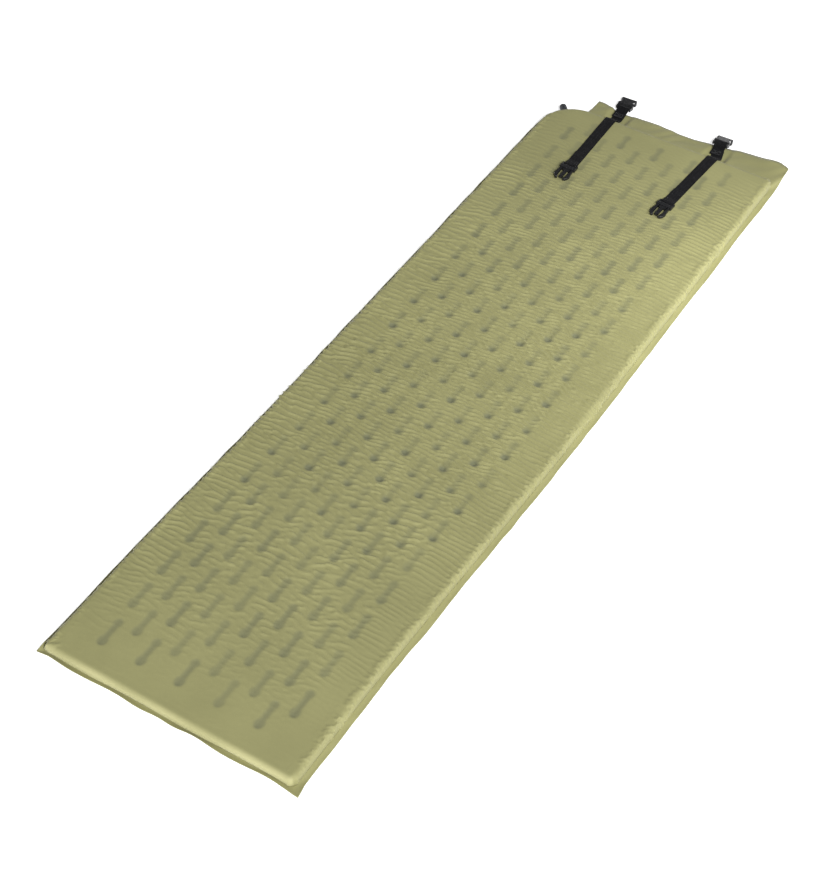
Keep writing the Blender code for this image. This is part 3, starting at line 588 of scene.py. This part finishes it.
def add_flange(shell, walls, normals, flanges):
    """Rows from the wall out to the flange's wavy rim. Gives the rim's plan and how far it lifts."""
    count = len(walls)
    reach = np.linalg.norm(flanges - walls, axis=1)
    present = smooth((reach - 0.002) / 0.006)
    wide = smooth((reach - 0.020) / 0.025)
    clear = strap_clearance(walls)
    foot = smooth((-0.88 - walls[:, 1]) / 0.02)
    wave = 0.00022 * loop_noise(count, 41, 50) + 0.0004 * loop_noise(count, 42, 14)
    wave = wave * (1.0 - wide) + 0.0010 * loop_noise(count, 43, 30) * wide
    wave = wave + 0.0012 * foot * np.sin(walls[:, 0] * 62.0 + 1.2 * np.sin(walls[:, 0] * 23.0))
    rim = flanges + normals * (np.clip(wave, -0.0016, 0.0016) * present)[:, None]
    lift = 0.5 + 0.5 * np.clip(loop_noise(count, 44, 26), -1.0, 1.0)
    lift = lift * mix(0.0009, 0.0022, wide) * mix(1.0, clear, wide) * present
    lift = lift + HEAD_CORNER_LIFT * smooth((walls[:, 0] - 0.190) / 0.06) * wide
    lift = lift + foot * (FOOT_FLANGE_LIFT + 0.0010 * loop_noise(count, 47, 40))
    lift = lift + LEFT_FLANGE_LIFT * smooth((-0.235 - walls[:, 0]) / 0.008) * (1.0 - foot) * present
    root = mix(0.0036, 0.0100, wide) * (1.0 - 0.55 * foot) * mix(1.0, clear, wide) * present
    fold = loop_noise(count, 45, 60)
    for share in FLANGE_ROWS:
        plan = mix(walls, rim, share)
        wrinkle = 0.00035 * fold * math.sin(math.pi * min(share * 1.1, 1.0)) * (1.0 - wide)
        diagonal = np.sin((plan[:, 0] * 0.8 - plan[:, 1] * 0.9) / 0.0062 + 2.0 * np.sin(plan[:, 0] / 0.021))
        broad = np.sin((plan[:, 0] * 0.9 + plan[:, 1] * 0.5) / 0.017 + 1.3)
        creases = 0.0008 * diagonal + 0.0012 * broad + 0.0012
        wrinkle = wrinkle + creases * wide * clear * math.sin(math.pi * share * 0.8)
        level = FLANGE_Z + root * (1.0 - share) ** 1.4 + lift * share ** 1.5 + np.maximum(wrinkle, -0.0002)
        shell.add_row(plan, level)
    return rim, lift


def make_pad():
    """The top fabric as one closed shell, with its wall line, its rim and how far the rim lifts."""
    x, y = top_grid()
    relief, *fields = pad_relief()
    flat = np.stack([x.ravel(), y.ravel()], 1)
    top = np.column_stack([flat, TOP + sample(relief, *flat.T)])
    stations = stations_round(x, y)
    index, walls, normals, flanges = (np.array(part) for part in zip(*stations))
    inner = flat[index]
    moved = cloth_band(stations, inner)
    shell = Shell(top, sample(fields[-1], *flat.T), top_quads(), index)
    add_shoulder_and_wall(shell, walls, normals, inner, moved, fields)
    rim, lift = add_flange(shell, walls, normals, flanges)
    for share in (1.0, 0.6, 0.0):
        shell.add_row(mix(walls, rim, share), 0.0010 + lift * share ** 1.5)
    return shell.build("pad_shell"), walls, rim, lift


def make_under_sheet(walls, rim, lift):
    """The second skin: a flat sheet welded to the first at the flange, and following its rim."""
    count = len(walls)
    rows = [(0.0, 0.00075), (0.5, 0.00075), (1.0, 0.00070), (1.008, 0.00040),
            (1.0, 0.0), (0.5, 0.0), (0.0, 0.0)]
    points = []
    quads = []
    for number, (share, level) in enumerate(rows):
        plan = mix(walls, rim, share)
        points.append(np.column_stack([plan, level + lift * min(share, 1.0) ** 1.5]))
        if number:
            first = np.arange((number - 1) * count, number * count)
            quads.append(ring_quads(first, first + count)[:, ::-1])
    top = np.arange(count)
    bottom = np.arange((len(rows) - 1) * count, len(rows) * count)
    faces = np.concatenate(quads).tolist() + [top.tolist(), bottom[::-1].tolist()]
    return smooth_object("under_sheet", np.concatenate(points).tolist(), faces)


# ------------ webbing routes, in metres, as the CAD's
GAP, SKIN_LOW, SKIN_TOP = 0.0003, 0.0006, 0.0008
WEB, WEB_WIDTH, WEB_STEP = 0.0014, 0.025, 0.0011
HINGE_Y, HINGE_Z = 0.834, 0.0262
RUN, TAIL, TAB = 0.186, 0.052, 0.060
SEWN_FROM, SEWN_TO = -0.020, -0.005
BAR_Z = 0.0028
FOLD = 0.0016 + GAP + WEB / 2  # the bar's radius and half the webbing round it
STITCH = 0.0021
# Each strap: X, turn of the run, of the tab and of the loop, then the female bar's reach, height and slope.
STRAPS = {
    "left": (-0.1170, 1.0, 4.0, 2.5, 0.0125, 0.0094, 12.0),
    "right": (0.1235, -3.9, 14.0, 2.0, 0.0050, 0.0168, 50.0),
}


def tab_line(x, run_turn, tab_turn):
    """Points of the webbing from its hinge line at the head edge to its sewn end on the flange."""
    flat = SKIN_LOW + GAP + SKIN_TOP + GAP + WEB / 2
    heights = [(0.0, HINGE_Z), (0.004, HINGE_Z - 0.0007), (0.008, HINGE_Z - 0.0030),
               (0.013, HINGE_Z - 0.0080), (0.019, flat + 0.0086), (0.025, flat + 0.0036),
               (0.031, flat + 0.0010), (0.037, flat), (0.048, flat), (TAB, flat)]
    place = Vector((x, HINGE_Y, 0.0))
    travelled = 0.0
    points, sides = [], []
    for distance, z in heights:
        side, ahead = turned(mix(run_turn, tab_turn, float(smooth(distance / 0.035))))
        place = place + ahead * (distance - travelled)
        travelled = distance
        points.append(place + Vector((0.0, 0.0, z)))
        sides.append(side)
    return points, sides


def arc_points(y, z, radius, start, end, steps):
    turns = [math.radians(mix(start, end, k / steps)) for k in range(steps + 1)]
    return [(y + radius * math.cos(t), z + radius * math.sin(t)) for t in turns]


def run_line():
    """The free run, round the male buckle's bar and back as the tail: (y, z) from the hinge."""
    line = [(-0.010, 0.0), (-0.035, 0.0002), (-0.060, 0.0), (-0.090, 0.0003), (-0.120, 0.0), (-0.165, 0.0)]
    line += [(-RUN + 0.008, BAR_Z - FOLD)]
    line += arc_points(-RUN, BAR_Z, FOLD, -90.0, -270.0, 10)
    line += [(-RUN + 0.006, BAR_Z + FOLD - 0.0005), (-RUN + 0.013, 0.0032), (-RUN + 0.020, WEB + GAP)]
    line += [(-RUN + 0.035, WEB + GAP + 0.0002), (-RUN + TAIL, WEB + GAP)]
    return line


def rising(start, end, slope, steps):
    reach = 0.45 * math.hypot(end[0] - start[0], end[1] - start[1])
    lean = math.radians(slope)
    handles = (start, (start[0] + reach, start[1]),
               (end[0] - reach * math.cos(lean), end[1] - reach * math.sin(lean)), end)
    out = []
    for i in range(steps + 1):
        t = i / steps
        parts = ((1 - t) ** 3, 3 * t * (1 - t) ** 2, 3 * t * t * (1 - t), t ** 3)
        out.append(tuple(sum(p * h[axis] for p, h in zip(parts, handles)) for axis in (0, 1)))
    return out


def loop_line(bar, bar_height, rise):
    """Doubled webbing sewn over the tab, with the female buckle's bar in its fold: (y, z)."""
    lower = SKIN_LOW + 2 * GAP + SKIN_TOP + WEB + GAP + WEB / 2
    upper = lower + GAP + WEB
    fold = arc_points(bar, bar_height, FOLD, rise - 90.0, rise + 90.0, 10)
    setback = (WEB + GAP) * math.tan(math.radians(rise / 2))
    line = [(SEWN_FROM, lower)] + rising((SEWN_TO, lower), fold[0], rise, 8)
    line += fold[1:-1]
    line += rising((SEWN_TO - setback, upper), fold[-1], rise, 8)[::-1]
    return line + [(SEWN_FROM, upper)], upper


def placed(line, origin, turn):
    """A line in the YZ plane of a turned frame, as points and sides in the shared frame."""
    side, ahead = turned(turn)
    points = [origin + ahead * y + Vector((0, 0, z)) for y, z in line]
    return points, [side] * len(points)


def evenly(points, sides, step):
    """Resamples a route at this step, rounding its corners a little."""
    p = np.array([tuple(v) for v in points])
    s = np.array([tuple(v) for v in sides])
    arc = np.concatenate([[0.0], np.cumsum(np.linalg.norm(np.diff(p, axis=0), axis=1))])
    at = np.linspace(0.0, arc[-1], int(arc[-1] / step) + 1)
    p = np.column_stack([np.interp(at, arc, p[:, k]) for k in range(3)])
    s = np.column_stack([np.interp(at, arc, s[:, k]) for k in range(3)])
    for _ in range(2):
        p[1:-1] = 0.5 * p[1:-1] + 0.25 * (p[:-2] + p[2:])
    return p, s, at


def webbing(name, points, sides, seed):
    """A woven strap: crowned section with thick selvedges, wandering edges and a faint wave."""
    p, s, at = evenly(points, sides, WEB_STEP)
    rng = np.random.default_rng(seed)
    wander = [np.interp(at, np.linspace(0, at[-1], 14), rng.standard_normal(14)) for _ in range(2)]
    tangent = np.gradient(p, axis=0)
    normal = np.cross(s, tangent)
    normal /= np.linalg.norm(normal, axis=1)[:, None]
    half = WEB_WIDTH / 2
    across = half * np.sin(np.linspace(-1, 1, 15) * np.pi / 2)
    thick = WEB / 2 - 0.00006
    section = []
    for a in across:
        edge = abs(a) / half
        rise = thick * (1.0 - edge ** 10) ** 0.5
        rise -= 0.00010 * math.exp(-((abs(a) - half * 0.80) / 0.0009) ** 2)
        section.append((a, rise))
    section += [(a, -h) for a, h in section[-2:0:-1]]
    rows, columns = len(at), len(section)
    coords = np.empty((rows, columns, 3))
    for k, (a, h) in enumerate(section):
        side = 0 if a < 0 else 1
        reach = a + (0.00018 * wander[side]) * (abs(a) / half) ** 3
        wave = 0.00005 * np.sin(at / 0.0042 + a * 90.0) * (1 - abs(a) / half * 0.3)
        coords[:, k] = p + s * reach[:, None] + normal * (h + wave * np.sign(h))[:, None]
    quads = []
    for k in range(columns):
        nxt = (k + 1) % columns
        base = np.arange(rows - 1) * columns
        quads.append(np.stack([base + k, base + nxt, base + columns + nxt, base + columns + k], 1))
    caps = [list(range(columns))[::-1], [(rows - 1) * columns + k for k in range(columns)]]
    obj = smooth_object(name, coords.reshape(-1, 3).tolist(), np.concatenate(quads).tolist() + caps)
    layer = obj.data.uv_layers.new(name="weave")
    loops = np.empty(len(obj.data.loops), np.int32)
    obj.data.loops.foreach_get("vertex_index", loops)
    width = np.array([a for a, _ in section])
    uv = np.column_stack([width[loops % columns], at[loops // columns]]).astype(np.float32)
    layer.data.foreach_set("uv", uv.ravel())
    obj["strap_length"] = float(at[-1])
    return obj


def thread_row(start, end, up, step, coords, quads):
    """A row of arched stitches between two points, added to the lists."""
    start, end = np.array(start), np.array(end)
    length = np.linalg.norm(end - start)
    ahead = (end - start) / length
    up = np.array(up)
    side = np.cross(up, ahead)
    count = max(1, int(round(length / step)))
    pitch = length / count
    for n in range(count):
        a = start + ahead * (pitch * (n + 0.08))
        reach = pitch * 0.84
        rings = []
        for k in range(6):
            t = k / 5
            size = 0.00027 * (0.35 + 0.65 * math.sin(math.pi * t) ** 0.5) + 0.00002
            rise = 0.00030 * math.sin(math.pi * t) ** 0.7 - 0.00016
            middle = a + ahead * reach * t + up * rise
            ring = len(coords)
            for m in range(6):
                angle = m * math.pi / 3
                coords.append(middle + side * size * math.cos(angle) + up * size * math.sin(angle))
            rings.append(list(range(ring, ring + 6)))
        for lower, upper in zip(rings, rings[1:]):
            quads += [(lower[m], lower[(m + 1) % 6], upper[(m + 1) % 6], upper[m]) for m in range(6)]
        quads.append(tuple(rings[0][::-1]))
        quads.append(tuple(rings[-1]))


def make_stitches(side, origin, turn, level):
    """Sewn box and cross over the loop."""
    across, ahead = (np.array(direction) for direction in turned(turn))
    base = np.array([origin.x, origin.y, level])
    near, far, half = -0.0180, -0.0070, 0.0085

    def spot(u, v):
        return base + across * u + ahead * v

    coords, quads = [], []
    up = (0.0, 0.0, 1.0)
    corners = [(-half, near), (half, near), (half, far), (-half, far)]
    for a, b in ((0, 1), (1, 2), (2, 3), (3, 0), (0, 2), (1, 3)):
        thread_row(spot(*corners[a]), spot(*corners[b]), up, STITCH, coords, quads)
    return smooth_object(f"stitches_{side}", [tuple(c) for c in coords], quads)


# ------------ materials
# colour over the slots, partly the skin's greyer look and partly painted shade; and the paler colour of the
# painted highlight on the foot's ridge
SLOT_COLOUR, RIDGE_HIGHLIGHT_COLOUR = (0.150, 0.158, 0.100), (0.470, 0.450, 0.225)
THREAD_PITCH, RIB_PITCH, WARP_PITCH, HERRINGBONE = 0.0009, 0.0016, 0.0011, 0.0031
EDGE_RADIUS = 0.0004


def new_material(name, colour, roughness, **sockets):
    material = bpy.data.materials.new(name)
    material.use_nodes = True
    shader = material.node_tree.nodes["Principled BSDF"]
    shader.inputs["Base Color"].default_value = (*colour, 1.0)
    shader.inputs["Roughness"].default_value = roughness
    for socket, value in sockets.items():
        shader.inputs[socket.replace("_", " ")].default_value = value
    return material, material.node_tree, shader


def node(tree, kind, **values):
    made = tree.nodes.new(kind)
    for key, value in values.items():
        if key in made.inputs:
            made.inputs[key].default_value = value
        else:
            setattr(made, key, value)
    return made


def math_node(tree, operation, a, b=None):
    made = node(tree, "ShaderNodeMath", operation=operation)
    for slot_number, value in ((0, a), (1, b)):
        if value is None:
            continue
        if isinstance(value, (int, float)):
            made.inputs[slot_number].default_value = value
        else:
            tree.links.new(value, made.inputs[slot_number])
    return made.outputs[0]


def wave_node(tree, value, pitch):
    return math_node(tree, "SINE", math_node(tree, "MULTIPLY", value, 2 * math.pi / pitch))


def object_coords(tree):
    return node(tree, "ShaderNodeTexCoord").outputs["Object"]


def point_value(tree, name):
    return node(tree, "ShaderNodeAttribute", attribute_name=name).outputs["Fac"]


def noise(tree, coords, scale, detail=3.0, roughness=0.55):
    made = node(tree, "ShaderNodeTexNoise", Scale=scale, Detail=detail, Roughness=roughness)
    tree.links.new(coords, made.inputs["Vector"])
    return made.outputs["Fac"]


def ramp(tree, value, stops):
    made = tree.nodes.new("ShaderNodeValToRGB")
    elements = made.color_ramp.elements
    while len(elements) < len(stops):
        elements.new(0.5)
    for element, (place, colour) in zip(elements, stops):
        element.position = place
        element.color = (*colour, 1.0)
    tree.links.new(value, made.inputs["Fac"])
    return made.outputs["Color"]


def blend_colour(tree, share, first, second):
    made = node(tree, "ShaderNodeMix", data_type="RGBA")
    for key, value in (("Factor", share), ("A", first), ("B", second)):
        socket = [s for s in made.inputs if s.name == key and (s.type == "RGBA") == (key != "Factor")][0]
        if isinstance(value, tuple):
            socket.default_value = (*value, 1.0)
        else:
            tree.links.new(value, socket)
    return [s for s in made.outputs if s.type == "RGBA"][0]


def vary_roughness(tree, shader, value, spread, low):
    made = math_node(tree, "ADD", math_node(tree, "MULTIPLY", value, spread), low)
    tree.links.new(made, shader.inputs["Roughness"])


def add_bump(tree, shader, height, strength, distance):
    made = node(tree, "ShaderNodeBump", Strength=strength, Distance=distance)
    tree.links.new(height, made.inputs["Height"])
    tree.links.new(made.outputs["Normal"], shader.inputs["Normal"])
    return made


def crossed_weave(tree, coords, pitch):
    """Over-and-under threads of a plain weave, from 0 to 1."""
    parts = node(tree, "ShaderNodeSeparateXYZ")
    tree.links.new(coords, parts.inputs[0])
    a, b = (wave_node(tree, parts.outputs[axis], pitch) for axis in "XY")
    return math_node(tree, "ADD", math_node(tree, "MULTIPLY", math_node(tree, "MULTIPLY", a, b), 0.5), 0.5)


def coated_fabric(name, colour, roughness, with_slots):
    """Olive coated polyester: fine plain weave, broad uneven tone, greyer where it sinks into a slot, partly
    the skin's greyer look over the cut and partly painted shade of the sunk slot and its pits. Paler along
    the foot's ridge, a painted highlight.
    """
    material, tree, shader = new_material(name, colour, roughness, Sheen_Weight=0.12,
                                          Sheen_Roughness=0.45, Specular_IOR_Level=0.26)
    coords = object_coords(tree)
    broad = noise(tree, coords, 7.0, 3.0)
    fine = noise(tree, coords, 160.0, 2.0)
    c = np.array(colour)
    tone = ramp(tree, broad, [(0.30, tuple(c * 0.93)), (0.70, tuple(c * 1.06))])
    result = blend_colour(tree, math_node(tree, "MULTIPLY", fine, 0.22), tone, tuple(c * 0.80))
    if with_slots:
        # darkening over the slots: the skin's greyer look over the cut plus painted shade of the sunk slot
        # and its pits
        share = math_node(tree, "MULTIPLY", point_value(tree, "slot_tone"), 0.46)
        sunk = blend_colour(tree, share, result, SLOT_COLOUR)
        # painted highlight: a paler colour mixed in along the foot's ridge
        result = blend_colour(tree, point_value(tree, "rub"), sunk, RIDGE_HIGHLIGHT_COLOUR)
    tree.links.new(result, shader.inputs["Base Color"])
    vary_roughness(tree, shader, broad, 0.12, roughness - 0.06)
    weave = crossed_weave(tree, coords, THREAD_PITCH)
    height = math_node(tree, "MULTIPLY", math_node(tree, "ADD", weave, fine), 0.5)
    add_bump(tree, shader, height, 0.25, 0.00012)
    return material


def webbing_material():
    """Black webbing: cross ribs with a herringbone lean, a paler worn nap of random tone, and colour painted
    darker in the grooves and paler on the rib crests as painted shade and highlight.
    """
    material, tree, shader = new_material("black_webbing", (0.007, 0.007, 0.008), 0.78, Sheen_Weight=0.03,
                                          Sheen_Roughness=0.5, Specular_IOR_Level=0.15)
    parts = node(tree, "ShaderNodeSeparateXYZ")
    tree.links.new(node(tree, "ShaderNodeUVMap", uv_map="weave").outputs["UV"], parts.inputs[0])
    across, along = parts.outputs["X"], parts.outputs["Y"]
    lean = math_node(tree, "PINGPONG", across, HERRINGBONE)
    rib = wave_node(tree, math_node(tree, "ADD", along, lean), RIB_PITCH)
    warp = wave_node(tree, across, WARP_PITCH)
    ribs = math_node(tree, "MULTIPLY", rib, 0.6)
    height = math_node(tree, "ADD", ribs, math_node(tree, "MULTIPLY", warp, 0.4))
    wear_and_highlight = noise(tree, object_coords(tree), 90.0, 4.0)
    # colour follows the rib height, with painted shade in the grooves and painted highlight on the crests,
    # plus the worn nap
    lit = math_node(tree, "ADD", math_node(tree, "MULTIPLY", height, 0.25), wear_and_highlight)
    colour = ramp(tree, lit, [(0.25, (0.003, 0.003, 0.004)), (0.60, (0.005, 0.005, 0.006)),
                              (0.90, (0.013, 0.013, 0.015))])
    tree.links.new(colour, shader.inputs["Base Color"])
    add_bump(tree, shader, height, 0.55, 0.00030)
    return material


def moulded_plastic(name, colour, roughness):
    """Black moulded acetal: fine spark-eroded texture, edges rounded in the shading, and a patchy tone and
    roughness.
    """
    material, tree, shader = new_material(name, colour, roughness, Specular_IOR_Level=0.5)
    coords = object_coords(tree)
    grain = noise(tree, coords, 1800.0, 2.0, 0.7)
    cloud = noise(tree, coords, 120.0, 3.0)
    c = np.array(colour)
    tone = ramp(tree, cloud, [(0.30, tuple(c * 0.8)), (0.72, tuple(c * 1.5))])
    tree.links.new(tone, shader.inputs["Base Color"])
    vary_roughness(tree, shader, cloud, 0.22, roughness - 0.11)
    bevel = node(tree, "ShaderNodeBevel", samples=4, Radius=EDGE_RADIUS)
    bump = add_bump(tree, shader, grain, 0.20, 0.00006)
    tree.links.new(bevel.outputs["Normal"], bump.inputs["Normal"])
    return material


def plain_thread():
    material, tree, shader = new_material("black_thread", (0.030, 0.030, 0.032), 0.55, Sheen_Weight=0.3)
    coords = object_coords(tree)
    twist = noise(tree, coords, 2600.0, 2.0)
    tone = ramp(tree, twist, [(0.35, (0.020, 0.020, 0.022)), (0.70, (0.060, 0.060, 0.064))])
    tree.links.new(tone, shader.inputs["Base Color"])
    add_bump(tree, shader, twist, 0.4, 0.0001)
    return material


def open_foam():
    material, tree, shader = new_material("open_cell_foam", (0.70, 0.62, 0.38), 0.95)
    coords = object_coords(tree)
    cells = node(tree, "ShaderNodeTexVoronoi", Scale=900.0)
    tree.links.new(coords, cells.inputs["Vector"])
    tone = ramp(tree, cells.outputs["Distance"], [(0.1, (0.52, 0.45, 0.26)), (0.6, (0.76, 0.68, 0.43))])
    tree.links.new(tone, shader.inputs["Base Color"])
    add_bump(tree, shader, cells.outputs["Distance"], 0.5, 0.0004)
    return material


def seal_rubber():
    material, tree, shader = new_material("seal_rubber", (0.012, 0.012, 0.012), 0.75)
    coords = object_coords(tree)
    grain = noise(tree, coords, 900.0, 3.0)
    vary_roughness(tree, shader, grain, 0.2, 0.65)
    add_bump(tree, shader, grain, 0.2, 0.0001)
    return material


def wear(obj, material):
    obj.data.materials.clear()
    obj.data.materials.append(material)


def finish_piece(obj, body, material, replaced):
    wear(obj, material)
    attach(obj, body)
    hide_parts(*replaced)


# ------------ stage, light and camera
LENS = 79.2046  # millimetres
CAMERA_PLACE = (1.24067, -2.24751, 2.58253)
CAMERA_TURN = (30.979, -46.938, 1.185)  # heading, pitch and roll, in degrees


def make_stage():
    size, rise = 40.0, 9.0
    corners = ((-size, -size), (size, -size), (size, size), (-size, size))
    sides = [(i, i + 4, (i + 1) % 4 + 4, (i + 1) % 4) for i in range(4)]
    points = [(x, y, z) for z in (0.0, rise) for x, y in corners]
    floor = new_object("floor", points, [(0, 1, 2, 3)] + sides)
    floor.location = (0.0, 0.0, -0.0004)
    material, tree, shader = new_material("studio_floor", (0.90, 0.90, 0.90), 0.9, Emission_Strength=0.62)
    shader.inputs["Emission Color"].default_value = (1.0, 1.0, 1.0, 1.0)
    floor.data.materials.append(material)
    world = bpy.data.worlds.new("studio")
    SCENE.world = world
    world.use_nodes = True
    back = world.node_tree.nodes["Background"]
    back.inputs["Color"].default_value = (1.0, 1.0, 1.0, 1.0)
    back.inputs["Strength"].default_value = 0.15


def area_light(name, location, target, size, power):
    data = bpy.data.lights.new(name, "AREA")
    data.shape = "RECTANGLE"
    data.size, data.size_y = size
    data.energy = power
    light = bpy.data.objects.new(name, data)
    SCENE.collection.objects.link(light)
    light.location = location
    aim = Vector(target) - Vector(location)
    light.rotation_euler = aim.to_track_quat("-Z", "Y").to_euler()
    light.visible_camera = False


def make_camera():
    data = bpy.data.cameras.new("camera")
    data.sensor_fit = "VERTICAL"
    data.sensor_height = 36.0
    data.lens = LENS
    data.clip_end = 50.0
    camera = bpy.data.objects.new("camera", data)
    SCENE.collection.objects.link(camera)
    heading, pitch, roll = (math.radians(angle) for angle in CAMERA_TURN)
    level = Matrix.Rotation(heading, 4, "Z") @ Matrix.Rotation(math.pi / 2 + pitch, 4, "X")
    camera.matrix_world = Matrix.Translation(CAMERA_PLACE) @ level @ Matrix.Rotation(roll, 4, "Z")
    SCENE.camera = camera


# ------------ putting it together
make_stage()
make_camera()
area_light("key", (3.3, -3.6, 4.4), (0.0, 0.0, 0.0), (1.2, 1.2), 430.0)
area_light("fill", (0.58, 0.46, 0.52), (0.08, 0.46, 0.0), (0.5, 0.25), 3.1)

olive = coated_fabric("olive_coated_polyester", (0.330, 0.320, 0.144), 0.64, True)
olive_under = coated_fabric("olive_under_polyester", (0.255, 0.248, 0.112), 0.66, False)
web_black = webbing_material()
buckle_black = moulded_plastic("buckle_acetal", (0.0100, 0.0102, 0.0115), 0.38)
valve_black = moulded_plastic("valve_plastic", (0.026, 0.028, 0.034), 0.42)
thread_black = plain_thread()

shell, walls, rim, rim_lift = make_pad()
finish_piece(shell, "pad", olive, ["top_skin"])
under = make_under_sheet(walls, rim, rim_lift)
finish_piece(under, "pad", olive_under, ["bottom_skin"])
wear(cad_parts["foam_core"], open_foam())
wear(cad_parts["valve_seal"], seal_rubber())
for name in ("valve_body", "valve_cap", "valve_plug"):
    wear(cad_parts[name], valve_black)

for side, (x, run_turn, tab_turn, loop_turn, bar, bar_height, rise) in STRAPS.items():
    tab, tab_sides = tab_line(x, run_turn, tab_turn)
    hinge = Vector((x, HINGE_Y, HINGE_Z))
    run, run_sides = placed(run_line(), hinge, run_turn)
    strap = webbing(f"strap_webbing_{side}", tab[::-1] + run, tab_sides[::-1] + run_sides, 7)
    wear(strap, web_black)
    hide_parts(f"strap_{side}", f"strap_tab_{side}")
    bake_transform(strap)
    end = tab[-1]
    line, upper = loop_line(bar, bar_height, rise)
    origin = Vector((end.x, end.y, 0.0))
    loop = webbing(f"loop_webbing_{side}", *placed(line, origin, loop_turn), 9)
    finish_piece(loop, "pad", web_black, [f"buckle_loop_{side}"])
    stitches = make_stitches(side, origin, loop_turn, upper + WEB / 2 + 0.00008)
    finish_piece(stitches, "pad", thread_black, [f"stitching_{side}"])
    for name in (f"male_buckle_{side}", f"female_buckle_{side}",
                 f"buckle_arm_{side}_inner", f"buckle_arm_{side}_outer"):
        wear(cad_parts[name], buckle_black)
